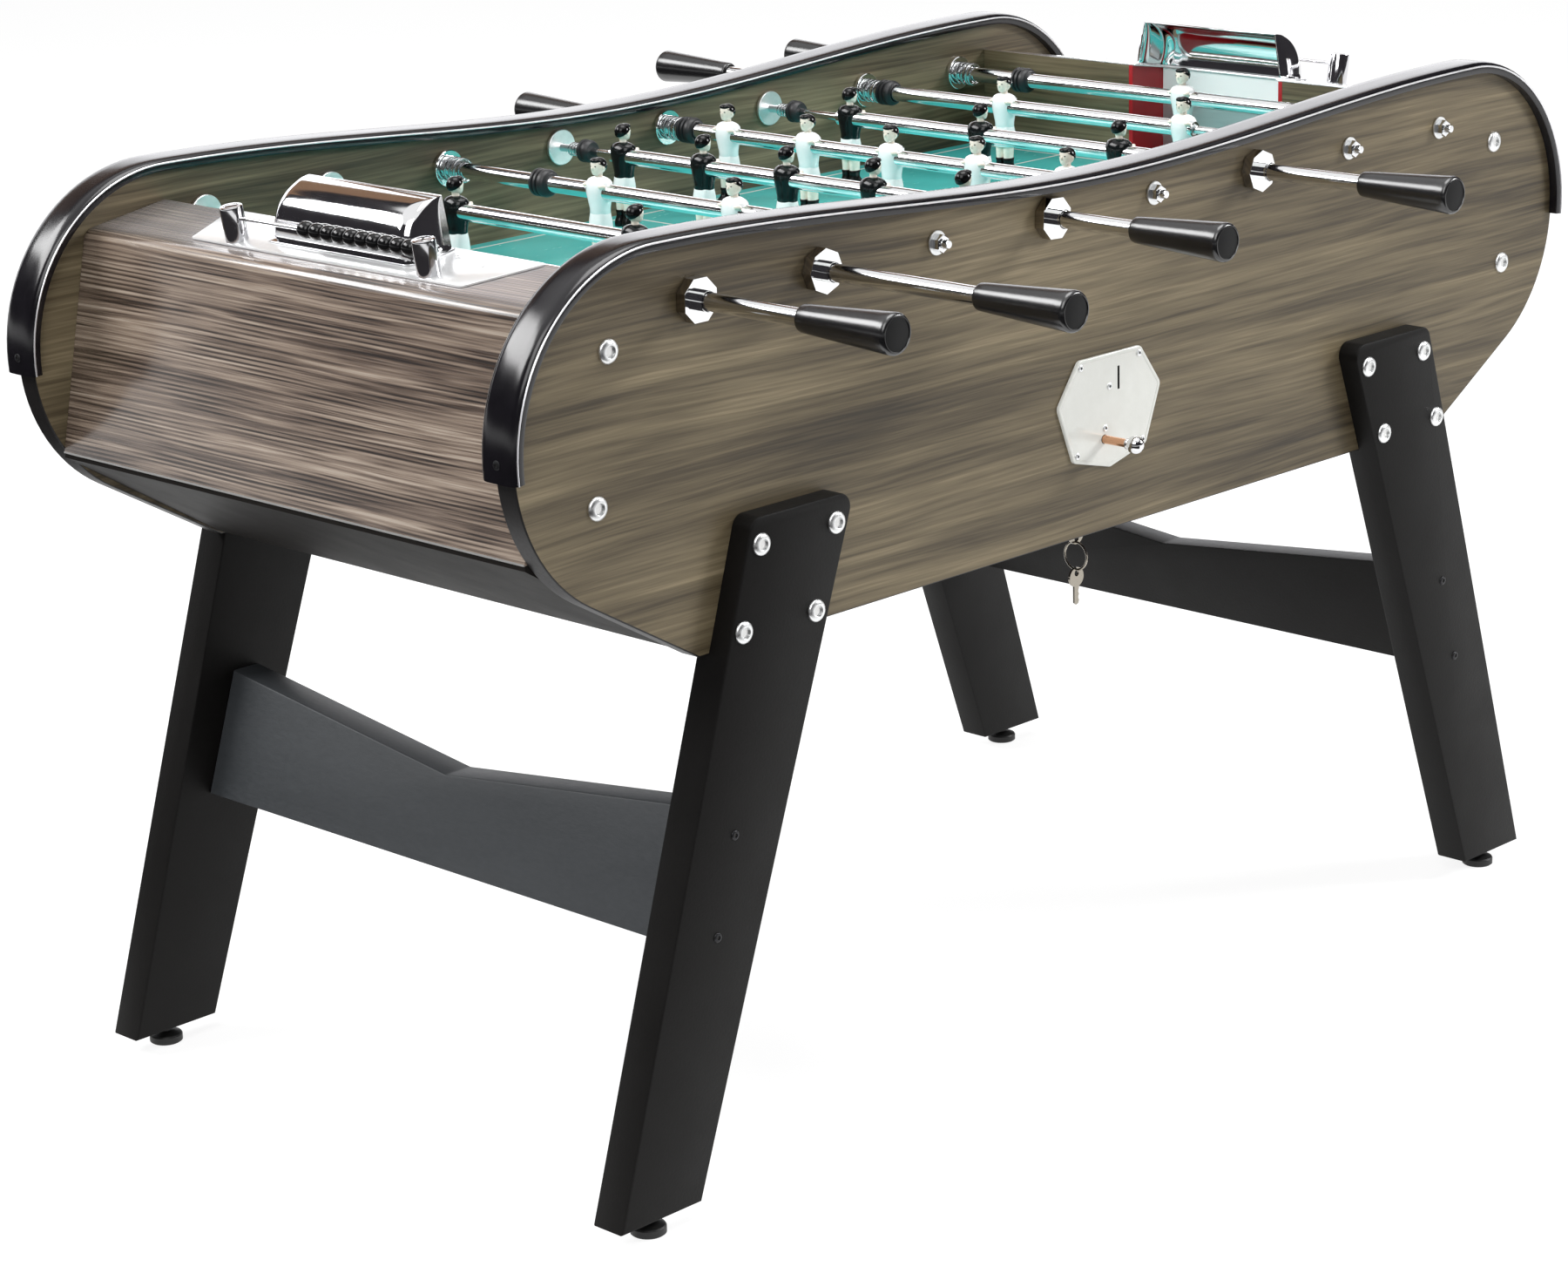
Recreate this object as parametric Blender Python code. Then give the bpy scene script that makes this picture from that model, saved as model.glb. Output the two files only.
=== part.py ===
"""Coin-operated table football: eight telescopic rods of men over a pitch in a wooden cabinet on splayed legs.

Metres, +X along the pitch, +Y towards the far player, +Z up. The origin is on the floor under the middle.
"""

import math

import bmesh
import bpy
from mathutils import Matrix, Vector

# Fits
GAP = 0.0003
RUNNING = 0.0005

# Rods
ROD_APART = 0.150
ROD_Z = 0.803
TUBE_R = 0.0080
TUBE_BORE_R = 0.0056
SHAFT_R = 0.0040
SHAFT_REACH = 0.360
ROUND = 10
THIN_ROUND = 8

# Men
MAN_HALF_WIDTH = 0.0125
TUBE_TAIL = 0.0020
KEEPER_TAIL = 0.1950

# Spacing of the men, start of the handle from the middle man, and how far each rod is pushed in
DEFENCE_APART = 0.2390
MIDFIELD_APART = 0.1125
ATTACK_APART = 0.1800
KEEPER_HANDLE = 0.4670
DEFENCE_HANDLE = 0.5250
MIDFIELD_HANDLE = 0.4275
ATTACK_HANDLE = 0.4725
KEEPER_PUSHED = 0.0070
DEFENCE_PUSHED = 0.0085
NEAR_MIDFIELD_PUSHED = -0.0070
FAR_MIDFIELD_PUSHED = 0.0040
NEAR_ATTACK_PUSHED = 0.0120
FAR_ATTACK_PUSHED = 0.0860
KEEPER_RING = 0.2190
ATTACK_RING = 0.2550

# Cabinet sides
PANEL_OUT = 0.333
PANEL_T = 0.022
PANEL_IN = PANEL_OUT - PANEL_T
PANEL_BOTTOM = 0.496
HUMP_X = 0.575
HUMP_Z = 0.700
EDGE_R = 0.154
MID_DROP = 0.026
SLANT = math.radians(60)

# Edge trim
TRIM_CROWN = 0.008
TRIM_LIP = 0.0035
TRIM_HALF_WIDTH = 0.0215
TRIM_END = math.radians(-5)

# Ends of the cabinet: the top board falls outwards from its inner edge
TOP_Z = 0.823
TOP_FALL = math.radians(9.2)
BOARD_T = 0.018
FRONT_TOP = (0.662, 0.805)
FRONT_FOOT = (0.702, 0.609)
TOP_EDGE_R = 0.013
WALL_X = 0.570
WALL_T = 0.015
WALL_FOOT_Z = 0.640
FIELD_Z = 0.722
FIELD_T = 0.012
BOTTOM_Z = 0.500
BOTTOM_T = 0.012
BOTTOM_KNEE_X = 0.533

# Goals, measured outwards on the top board from its inner edge
MOUTH = 0.098
GOAL_DEEP = 0.0515
GOAL_T = 0.005
PLATE_T = 0.002
PLATE_START = 0.0005
PLATE_END = 0.0722
PLATE_OUT = 0.180
PLATE_IN = 0.210
HOOD_W = 0.0965
HOOD_TAPER = 0.0085
HOOD_FRONT = 0.0065
HOOD_LEAN = 0.0060
HOOD_DEPTH = 0.0445
HOOD_H = 0.0456
HOOD_T = 0.002
HOOD_FLANGE = 0.004

# Score counters
POST_OUT = 0.0612
POST_Y = 0.128
POST_R = 0.0105
POST_H = 0.0315
WIRE_R = 0.0018
WIRE_H = 0.0210
BEADS = 10
BEAD_PITCH = 0.0152
BEAD_R = 0.00775

# Legs
LEG_OUT = 0.3555
LEG_T = 0.0365
LEG_IN = LEG_OUT - LEG_T
LEG_TOP_Z = 0.611
LEG_FOOT_Z = 0.018
LEG_TOP = (0.358, 0.4835)
LEG_FOOT = (0.5695, 0.665)
LEG_CORNER = 0.013
FOOT_R = 0.016
FOOT_H = 0.011
STEM_R = 0.006

# Stretchers
STRETCHER_T = 0.030
STRETCHER_LOW = 0.242
STRETCHER_HIGH = 0.357
STRETCHER_DIP = 0.322

# Bearings and buffers
ROSETTE_FLATS = 0.042
ROSETTE_T = 0.008
COLLAR_R = 0.011
COLLAR_OUT = 0.020
SLEEVE_R = 0.0115
DISC_R = 0.018
DISC_T = 0.004
BIG_COIL_R = 0.0112
BIG_WIRE_R = 0.0013
BIG_COIL_L = 0.022
SMALL_COIL_R = 0.0061
SMALL_WIRE_R = 0.0008
SMALL_COIL_L = 0.0175
BIG_TURNS = 3
SMALL_TURNS = 2
COIL_POINTS = 8
RING_R = 0.0135
RING_L = 0.022
BUFFER_R = 0.0115
BUFFER_L = 0.013
BUFFER_Y = 0.2620
STUD_HOLE_R = 0.0065
WASHER_R = 0.011
NUT_R = 0.0082

# Handles
HANDLE_L = 0.103
HANDLE_THIN_R = 0.0119
HANDLE_FAT_R = 0.0175
HANDLE_DISC_R = 0.0143
HANDLE_BORE_L = 0.082

# Coin plate, plunger and cash lock
COIN_X = 0.008
COIN_Z = 0.610
COIN_PLATE_T = 0.003
SLOT_X = 0.0205
SLOT_Z = (0.628, 0.650)
SLOT_W = 0.003
SLOT_ROOM = 0.004
MECH_W = 0.120
MECH_DEEP = 0.065
MECH_TOP_Z = 0.665
CASH_W = 0.210
CASH_DEEP = 0.120
CASH_TOP_Z = 0.545
PIN_X = 0.0
PIN_Z = 0.584
PIN_R = 0.0040
PIN_OUT = 0.036
PIN_IN = 0.036
BALL_R = 0.0085
LOCK_X = 0.024
LOCK_Y = -0.280
LOCK_R = 0.009
KEY_W = 0.0035
KEY_T = 0.0012
KEY_BOW_R = 0.010
KEY_RING_R = 0.0135

# Ball outlet in the far side
OUTLET_X = 0.060
OUTLET_Z = (0.516, 0.576)

# Each rod: name, place along the pitch, which player, men, their spacing, start of the handle from the
# middle man, how far the rod is pushed in, and where its ring sits on the tube (None: against the spring).
RODS = (
    ("near_keeper", -3.5, "near", 1, 0, KEEPER_HANDLE, KEEPER_PUSHED, KEEPER_RING),
    ("near_defence", -2.5, "near", 2, DEFENCE_APART, DEFENCE_HANDLE, DEFENCE_PUSHED, None),
    ("far_attack", -1.5, "far", 3, ATTACK_APART, ATTACK_HANDLE, FAR_ATTACK_PUSHED, ATTACK_RING),
    ("near_midfield", -0.5, "near", 5, MIDFIELD_APART, MIDFIELD_HANDLE, NEAR_MIDFIELD_PUSHED, None),
    ("far_midfield", 0.5, "far", 5, MIDFIELD_APART, MIDFIELD_HANDLE, FAR_MIDFIELD_PUSHED, None),
    ("near_attack", 1.5, "near", 3, ATTACK_APART, ATTACK_HANDLE, NEAR_ATTACK_PUSHED, None),
    ("far_defence", 2.5, "far", 2, DEFENCE_APART, DEFENCE_HANDLE, DEFENCE_PUSHED, None),
    ("far_keeper", 3.5, "far", 1, 0, KEEPER_HANDLE, KEEPER_PUSHED, KEEPER_RING),
)

# Looks: colour, roughness, metallic
WALNUT = ((0.135, 0.105, 0.066), 0.45, 0.0)
BROWN = ((0.190, 0.130, 0.094), 0.35, 0.0)
BLACK_WOOD = ((0.020, 0.017, 0.014), 0.55, 0.0)
GREY_WOOD = ((0.065, 0.073, 0.080), 0.55, 0.0)
TRIM = ((0.012, 0.011, 0.014), 0.35, 0.0)
HANDLE = ((0.012, 0.012, 0.012), 0.40, 0.0)
CHROME = ((0.80, 0.80, 0.82), 0.12, 1.0)
ZINC = ((0.62, 0.62, 0.63), 0.30, 1.0)
FIELD = ((0.045, 0.430, 0.350), 0.40, 0.0)
RED = ((0.300, 0.005, 0.010), 0.35, 0.0)
ENAMEL = ((0.740, 0.750, 0.700), 0.25, 0.0)
BEAD = ((0.006, 0.006, 0.007), 0.15, 0.0)


def across(radius, sides):
    """Corner radius of a polygon whose flats lie at this radius."""
    return radius / math.cos(math.pi / sides)


def mesh_object(bm):
    bmesh.ops.recalc_face_normals(bm, faces=bm.faces)
    mesh = bpy.data.meshes.new("shape")
    bm.to_mesh(mesh)
    bm.free()
    shape = bpy.data.objects.new("shape", mesh)
    bpy.context.scene.collection.objects.link(shape)
    return shape


def skin(rows, closed):
    """Surface through rows of points. A row of one point is a pole; closed joins the last row to the first."""
    bm = bmesh.new()
    made = [[bm.verts.new(point) for point in row] for row in rows]
    pairs = list(zip(made, made[1:]))
    if closed:
        pairs.append((made[-1], made[0]))
    for low, high in pairs:
        count = max(len(low), len(high))
        for k in range(count):
            n = (k + 1) % count
            corners = [low[k % len(low)], low[n % len(low)], high[n % len(high)], high[k % len(high)]]
            face = list(dict.fromkeys(corners))
            if len(face) > 2:
                bm.faces.new(face)
    if not closed:
        for row in (made[0], made[-1]):
            if len(row) > 2:
                bm.faces.new(row)
    return mesh_object(bm)


def lathe(profile, sides, place=None, turn=0.5):
    """Solid of revolution about Y from (radius, y) points: it runs from axis to axis, or closes on itself."""
    angles = [2 * math.pi * (k + turn) / sides for k in range(sides)]
    rows = []
    for radius, y in profile:
        if radius == 0:
            rows.append([Vector((0, y, 0))])
        else:
            rows.append([Vector((radius * math.cos(a), y, radius * math.sin(a))) for a in angles])
    if place is not None:
        rows = [[place @ point for point in row] for row in rows]
    return skin(rows, profile[0][0] != 0)


def rod_lathe(radius, low, high, sides=ROUND, place=None):
    return lathe([(0, low), (radius, low), (radius, high), (0, high)], sides, place)


def upright(x, y):
    """Places a lathe shape upright, its y measured up from the floor."""
    return Matrix.Translation((x, y, 0)) @ Matrix.Rotation(math.radians(90), 4, "X")


def crosswise(x, z):
    """Places a lathe shape along Y at this point of the side view."""
    return Matrix.Translation((x, 0, z))


def prism_y(outline, low, high):
    return skin([[Vector((x, y, z)) for x, z in outline] for y in (low, high)], False)


def prism_z(outline, low, high):
    return skin([[Vector((x, y, z)) for x, y in outline] for z in (low, high)], False)


def box(low, high):
    (x0, y0, z0), (x1, y1, z1) = low, high
    return prism_z([(x0, y0), (x1, y0), (x1, y1), (x0, y1)], z0, z1)


def joined(shapes):
    """One mesh from shapes that stand apart from each other."""
    bm = bmesh.new()
    for shape in shapes:
        bm.from_mesh(shape.data)
        bpy.data.objects.remove(shape)
    return mesh_object(bm)


def boolean(shape, other, operation):
    modifier = shape.modifiers.new("work", "BOOLEAN")
    modifier.operation = operation
    modifier.solver = "EXACT"
    modifier.object = other
    bpy.context.view_layer.update()
    graph = bpy.context.evaluated_depsgraph_get()
    mesh = bpy.data.meshes.new_from_object(shape.evaluated_get(graph))
    shape.modifiers.clear()
    shape.data = mesh
    bpy.data.objects.remove(other)
    return shape


def union(shape, *others):
    for other in others:
        shape = boolean(shape, other, "UNION")
    return shape


def cut(shape, *others):
    for other in others:
        shape = boolean(shape, other, "DIFFERENCE")
    return shape


def finish(shape, name, look, place=None):
    """Names the piece, gives it its own material and smooth round faces, and sets its origin."""
    colour, roughness, metallic = look
    material = bpy.data.materials.new(name)
    material.use_nodes = True
    surface = material.node_tree.nodes["Principled BSDF"]
    surface.inputs["Base Color"].default_value = (*colour, 1)
    surface.inputs["Roughness"].default_value = roughness
    surface.inputs["Metallic"].default_value = metallic
    shape.data.materials.clear()
    shape.data.materials.append(material)
    shape.data.shade_smooth()
    shape.data.set_sharp_from_angle(angle=math.radians(35))
    shape.name = name
    shape.data.name = name
    if place is not None:
        shape.matrix_world = place
    return shape


def fillet(before, corner, after, radius, steps):
    """Points of an arc that rounds a corner of an outline."""
    corner = Vector(corner)
    first = (Vector(before) - corner).normalized()
    second = (Vector(after) - corner).normalized()
    half = first.angle(second) / 2
    reach = radius / math.tan(half)
    middle = corner + (first + second).normalized() * radius / math.sin(half)
    start = corner + first * reach - middle
    end = corner + second * reach - middle
    sweep = start.angle(end)
    points = []
    for k in range(steps + 1):
        a = sweep * k / steps
        arm = (start * math.sin(sweep - a) + end * math.sin(a)) / math.sin(sweep)
        points.append(tuple(middle + arm))
    return points


def coil_points(radius, start, end, wire, turns, free):
    """Middle line of a spring about Y, sunk in its rest at the start and, unless free, at the end."""
    way = math.copysign(1, end - start)
    low = start + way * 2 * wire
    high = end - way * 2 * wire
    count = turns * COIL_POINTS
    points = [Vector((radius, start - way * 2 * wire, 0)), Vector((radius, low - way * wire, 0))]
    for k in range(1, count + 1):
        angle = 2 * math.pi * k / COIL_POINTS
        y = low + (high - low) * k / (count + 1)
        points.append(Vector((radius * math.cos(angle), y, radius * math.sin(angle))))
    last = points[-1]
    turned = Matrix.Rotation(-2 * math.pi / COIL_POINTS, 3, "Y") @ last
    points.append(Vector((turned.x, high + way * wire, turned.z)))
    points.append(Vector((turned.x, end if free else end + way * 2 * wire, turned.z)))
    return points


def least_gap(points, wire):
    """Least clear distance between turns of a spring."""
    apart = COIL_POINTS // 2
    count = len(points)
    found = [(points[a] - points[b]).length for a in range(count) for b in range(a + apart, count)]
    return min(found) - 2 * wire


def coil(radius, start, end, wire, turns, free=False):
    """Spring wire as one tube of six sides."""
    points = coil_points(radius, start, end, wire, turns, free)
    print(f"spring gap {1000 * least_gap(points, wire):.2f} mm")
    rows = []
    for k, point in enumerate(points):
        before = points[max(k - 1, 0)]
        after = points[min(k + 1, len(points) - 1)]
        along = (after - before).normalized()
        out = Vector((point.x, 0, point.z)).normalized()
        out = (out - along * out.dot(along)).normalized()
        side = along.cross(out)
        ring = [out * math.cos(a) + side * math.sin(a) for a in (math.pi * n / 3 for n in range(6))]
        rows.append([point + wire * arm for arm in ring])
    return skin(rows, False)


def edge_top(x):
    """Height of the side panel's top edge between its humps, and the edge's slope."""
    bend = math.pi * x / HUMP_X
    height = HUMP_Z + EDGE_R - MID_DROP * (1 + math.cos(bend)) / 2
    slope = MID_DROP * math.pi / (2 * HUMP_X) * math.sin(bend)
    return height, slope


def edge_path(bare):
    """Panel edge from the right end over the humps to the left end, as points and outward normals.

    bare adds the stretch below the trim at each end.
    """
    angles = [TRIM_END + (math.pi / 2 - TRIM_END) * k / 7 for k in range(7)]
    if bare:
        angles = [-SLANT + (TRIM_END + SLANT) * k / 4 for k in range(4)] + angles
    half = []
    for angle in angles:
        normal = Vector((math.cos(angle), math.sin(angle)))
        half.append((Vector((HUMP_X, HUMP_Z)) + EDGE_R * normal, normal))
    for k in range(6):
        x = HUMP_X * (1 - k / 6)
        height, slope = edge_top(x)
        half.append((Vector((x, height)), Vector((-slope, 1)).normalized()))
    height, slope = edge_top(0)
    flip = [(Vector((-p.x, p.y)), Vector((-n.x, n.y))) for p, n in reversed(half)]
    return half + [(Vector((0, height)), Vector((0, 1)))] + flip


def rod_x(place):
    return place * ROD_APART


def side_panel(side):
    """Side of the cabinet, bored for this player's bearings and the other player's studs."""
    turn = -1 if side == "near" else 1
    low, high = sorted((turn * PANEL_IN, turn * PANEL_OUT))
    edge = [tuple(point) for point, normal in edge_path(True)]
    foot = HUMP_X + EDGE_R * math.cos(SLANT)
    drop = HUMP_Z - EDGE_R * math.sin(SLANT) - PANEL_BOTTOM
    foot -= drop * math.tan(SLANT)
    shape = prism_y(edge + [(-foot, PANEL_BOTTOM), (foot, PANEL_BOTTOM)], low, high)
    holes = []
    for name, place, player, *rest in RODS:
        radius = across(SLEEVE_R + GAP, ROUND) if player == side else STUD_HOLE_R
        holes.append(rod_lathe(radius, low - 0.01, high + 0.01, ROUND, crosswise(rod_x(place), ROD_Z)))
    if side == "near":
        x0, x1 = SLOT_X - SLOT_ROOM, SLOT_X + SLOT_ROOM
        z0, z1 = SLOT_Z[0] - SLOT_ROOM, SLOT_Z[1] + SLOT_ROOM
        holes.append(box((x0, low - 0.01, z0), (x1, high + 0.01, z1)))
        holes.append(rod_lathe(PIN_R + 0.002, low - 0.01, high + 0.01, ROUND, crosswise(PIN_X, PIN_Z)))
    else:
        holes.append(box((-OUTLET_X, low - 0.01, OUTLET_Z[0]), (OUTLET_X, high + 0.01, OUTLET_Z[1])))
    return finish(cut(shape, joined(holes)), f"side_panel_{side}", WALNUT)


def edge_trim(side):
    """Moulded trim that grips the panel's edge from end to end."""
    middle = (PANEL_OUT + PANEL_IN) / 2 * (-1 if side == "near" else 1)
    grip = PANEL_T / 2 + GAP
    w = TRIM_HALF_WIDTH
    half = [
        (GAP, grip),
        (-TRIM_LIP, grip),
        (-TRIM_LIP, w - 0.0012),
        (TRIM_CROWN - 0.0035, w),
        (TRIM_CROWN, w - 0.0070),
    ]
    profile = half + [(n, -side_y) for n, side_y in reversed(half)]
    rows = []
    for point, normal in edge_path(False):
        row = []
        for n, side_y in profile:
            at = point + normal * n
            row.append(Vector((at.x, middle + side_y, at.y)))
        rows.append(row)
    return finish(skin(rows, False), f"edge_trim_{side}", TRIM)


def top_height(x):
    """Height of the sloping top board's face at this distance from the middle."""
    return TOP_Z - (x - WALL_X) * math.tan(TOP_FALL)


def on_top(end):
    """Frame of a top board: +X outwards from its inner edge, +Z out of its face."""
    here = Matrix.Translation((WALL_X, 0, TOP_Z)) @ Matrix.Rotation(TOP_FALL, 4, "Y")
    return here if end > 0 else Matrix.Rotation(math.pi, 4, "Z") @ here


def end_bend(inset):
    """Where the faces of the top board and the leaning front board meet, both moved in by this much."""
    fall = math.tan(TOP_FALL)
    lean = (FRONT_FOOT[0] - FRONT_TOP[0]) / (FRONT_TOP[1] - FRONT_FOOT[1])
    level = top_height(0) - inset / math.cos(TOP_FALL)
    front = FRONT_TOP[0] - inset / math.cos(math.atan(lean))
    x = (front + lean * (FRONT_TOP[1] - level)) / (1 - lean * fall)
    return x, level - fall * x


def mirrored(outline, end):
    return [(end * x, v) for x, v in outline]


def end_cabinet(name, end):
    """Post-formed end: sloping top board and leaning front board in one bend, notched for the goal."""
    lean = math.atan2(FRONT_FOOT[0] - FRONT_TOP[0], FRONT_TOP[1] - FRONT_FOOT[1])
    under = TOP_Z - BOARD_T / math.cos(TOP_FALL)
    outline = [(WALL_X, under), (WALL_X, TOP_Z)]
    outline += fillet((WALL_X, TOP_Z), end_bend(0), FRONT_FOOT, TOP_EDGE_R, 5)
    outline += [FRONT_FOOT, (FRONT_FOOT[0] - BOARD_T / math.cos(lean), FRONT_FOOT[1]), end_bend(BOARD_T)]
    shape = prism_y(mirrored(outline, end), GAP - PANEL_IN, PANEL_IN - GAP)
    wide = MOUTH + GOAL_T + GAP
    back = WALL_X + GOAL_DEEP + GOAL_T + GAP
    notch = box((WALL_X - 0.02, -wide, under - 0.03), (back, wide, TOP_Z + 0.01))
    if end < 0:
        notch.data.transform(Matrix.Rotation(math.pi, 4, "Z"))
    return finish(cut(shape, notch), f"end_cabinet_{name}", BROWN)


def end_wall(name, end):
    """End wall of the pitch under the top board, with the goal mouth open to the top."""
    wide = PANEL_IN - GAP
    side = MOUTH + GOAL_T + GAP
    rows = []
    for x in (WALL_X, WALL_X + WALL_T):
        high = top_height(x) - BOARD_T / math.cos(TOP_FALL) - GAP
        outline = [(-wide, WALL_FOOT_Z), (wide, WALL_FOOT_Z), (wide, high), (side, high)]
        outline += [(side, FIELD_Z), (-side, FIELD_Z), (-side, high), (-wide, high)]
        rows.append([Vector((end * x, y, z)) for y, z in outline])
    return finish(skin(rows, False), f"end_wall_{name}", WALNUT)


def goal_box(name, end):
    """Lining of the goal, from the mouth's edge to its back, open to the hood above and the ball run below."""
    side = MOUTH + GOAL_T
    back = WALL_X + GOAL_DEEP
    outline = [(WALL_X, -side), (back + GOAL_T, -side), (back + GOAL_T, side), (WALL_X, side)]
    outline += [(WALL_X, MOUTH), (back, MOUTH), (back, -MOUTH), (WALL_X, -MOUTH)]
    foot = [Vector((x, y, WALL_FOOT_Z)) for x, y in outline]
    top = [Vector((x, y, top_height(x))) for x, y in outline]
    wide = side + 0.02
    lap = box((WALL_X - 0.02, -wide, WALL_FOOT_Z - 0.02), (WALL_X + WALL_T + GAP, wide, FIELD_Z + GAP))
    shape = cut(skin([foot, top], False), lap)
    if end < 0:
        shape.data.transform(Matrix.Rotation(math.pi, 4, "Z"))
    return finish(shape, f"goal_box_{name}", RED)


def goal_plate(name, end):
    """Steel plate on the top board round the goal, with two posts and the counter wire."""
    low = GAP
    high = low + PLATE_T
    notch = HOOD_W - HOOD_T
    back = HOOD_FRONT + HOOD_DEPTH - HOOD_T
    outline = [(PLATE_START, notch), (PLATE_START, PLATE_IN), (PLATE_END, PLATE_OUT), (PLATE_END, -PLATE_OUT)]
    outline += [(PLATE_START, -PLATE_IN), (PLATE_START, -notch), (back, -notch), (back, notch)]
    shape = prism_z(outline, low, high)
    for side in (-1, 1):
        post = [(0, low + PLATE_T / 2), (POST_R, low + PLATE_T / 2), (POST_R, high + POST_H - 0.002)]
        post += [(POST_R - 0.002, high + POST_H), (0, high + POST_H)]
        shape = union(shape, lathe(post, ROUND, upright(POST_OUT, side * POST_Y)))
    wire = rod_lathe(WIRE_R, -POST_Y, POST_Y, 8, crosswise(POST_OUT, high + WIRE_H))
    shape = union(shape, wire)
    shape.data.transform(on_top(end))
    return finish(shape, f"goal_plate_{name}", CHROME)


def hood_rows(grow, end, levels):
    """Outlines of the goal hood at shares of its height, grown outwards by this much."""
    base = PLATE_T + 2 * GAP
    rows = []
    for share, lift, spread in levels:
        z = base + share * (HOOD_H + grow) + lift
        depth = HOOD_DEPTH * math.sqrt(max(1 - share**2.2, 0)) + (0.006 + HOOD_LEAN) * share
        w = HOOD_W - HOOD_TAPER * share + grow + spread
        front = HOOD_FRONT - HOOD_LEAN * share
        x0 = front if grow == 0 else front - 0.03
        x1 = front + depth + grow + spread
        c = min(0.014, (x1 - front) * 0.6)
        plan = [(x0, -w), (x1 - c, -w), (x1, c - w), (x1, w - c), (x1 - c, w), (x0, w)]
        rows.append([on_top(end) @ Vector((x, y, z)) for x, y in plan])
    return rows


def goal_hood(name, end):
    """Bent sheet hood over the goal, closed at its cheeks and back and open to the pitch and below."""
    bends = [(share, 0, 0) for share in (0.45, 0.75, 0.92, 1.0)]
    flange = [(0, 0, HOOD_FLANGE), (0, HOOD_T, HOOD_FLANGE), (0, HOOD_T + 0.0004, 0)]
    outer = skin(hood_rows(0, end, flange + bends), False)
    inner = skin(hood_rows(-HOOD_T, end, [(0, -0.01, 0), (0, 0, 0)] + bends), False)
    return finish(cut(outer, inner), f"goal_hood_{name}", CHROME)


def counter_beads(name, end):
    """Ten score beads that slide together along the wire, resting against one post."""
    bore = across(WIRE_R + RUNNING, 6)
    profile = [(bore, 0.0)]
    for k in range(BEADS):
        start = k * BEAD_PITCH
        profile.append((0.0045, start))
        profile.append((BEAD_R, start + BEAD_PITCH * 0.3))
        profile.append((BEAD_R, start + BEAD_PITCH * 0.7))
    profile += [(0.0045, BEADS * BEAD_PITCH), (bore, BEADS * BEAD_PITCH)]
    height = GAP + PLATE_T + WIRE_H
    start = on_top(end) @ Matrix.Translation((POST_OUT, POST_Y - POST_R - GAP, height))
    start = start @ Matrix.Rotation(math.pi, 4, "Z")
    return finish(lathe(profile, 6), f"counter_beads_{name}", BEAD, start)


def playfield():
    """Pitch board between the side panels and the end walls."""
    x = WALL_X - GAP
    y = PANEL_IN - GAP
    return finish(box((-x, -y, FIELD_Z - FIELD_T), (x, y, FIELD_Z)), "playfield", FIELD)


def bottom_panel():
    """Floor of the cabinet: a flat middle and slanted ends that run the balls down from the goals."""
    foot = (FRONT_FOOT[0] - 0.0005, FRONT_FOOT[1] - 0.005)
    knee = (BOTTOM_KNEE_X, BOTTOM_Z)
    rise = Vector((foot[0] - knee[0], foot[1] - knee[1])).normalized()
    lift = BOTTOM_T * Vector((-rise.y, rise.x))
    slope = rise.y / rise.x
    top = FRONT_FOOT[1] - GAP
    inner = knee[0] + lift.x + (top - knee[1] - lift.y) / slope
    floor = BOTTOM_Z + BOTTOM_T
    bend = knee[0] + lift.x + (floor - knee[1] - lift.y) / slope
    half = [knee, foot, (foot[0], top), (inner, top), (bend, floor)]
    outline = half + [(-x, z) for x, z in reversed(half)]
    shape = prism_y(outline, GAP - PANEL_IN, PANEL_IN - GAP)
    low, high = BOTTOM_Z - BOTTOM_T, BOTTOM_Z + 2 * BOTTOM_T
    hole = rod_lathe(across(LOCK_R + GAP, ROUND), low, high, ROUND, upright(LOCK_X, LOCK_Y))
    return finish(cut(shape, hole), "bottom_panel", BLACK_WOOD)


def leg_x(z):
    """Inner and outer edge of a leg at this height."""
    share = (LEG_TOP_Z - z) / (LEG_TOP_Z - LEG_FOOT_Z)
    return tuple(top + share * (foot - top) for top, foot in zip(LEG_TOP, LEG_FOOT))


def leg(name, end, side):
    """Splayed leg that laps the side panel and carries a levelling foot."""
    tops = [(x, LEG_TOP_Z) for x in LEG_TOP]
    feet = [(x, LEG_FOOT_Z) for x in LEG_FOOT]
    outline = [feet[0]] + fillet(feet[0], tops[0], tops[1], LEG_CORNER, 4)
    outline += fillet(tops[0], tops[1], feet[1], LEG_CORNER, 4) + [feet[1]]
    low, high = sorted((side * LEG_IN, side * LEG_OUT))
    shape = prism_y(mirrored(outline, end), low, high)
    y0, y1 = sorted((side * (LEG_IN - 0.02), side * (PANEL_OUT + GAP)))
    reach = LEG_FOOT[1]
    lap = box((-reach, y0, PANEL_BOTTOM - GAP), (reach, y1, LEG_TOP_Z + 0.02))
    shape = cut(shape, lap)
    x = end * sum(LEG_FOOT) / 2
    y = side * (LEG_IN + LEG_OUT) / 2
    profile = [(0, 0), (FOOT_R, 0), (FOOT_R, FOOT_H - 0.003), (STEM_R, FOOT_H)]
    profile += [(STEM_R, LEG_FOOT_Z + 0.01), (0, LEG_FOOT_Z + 0.01)]
    return finish(union(shape, lathe(profile, ROUND, upright(x, y))), f"leg_{name}", BLACK_WOOD)


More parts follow.
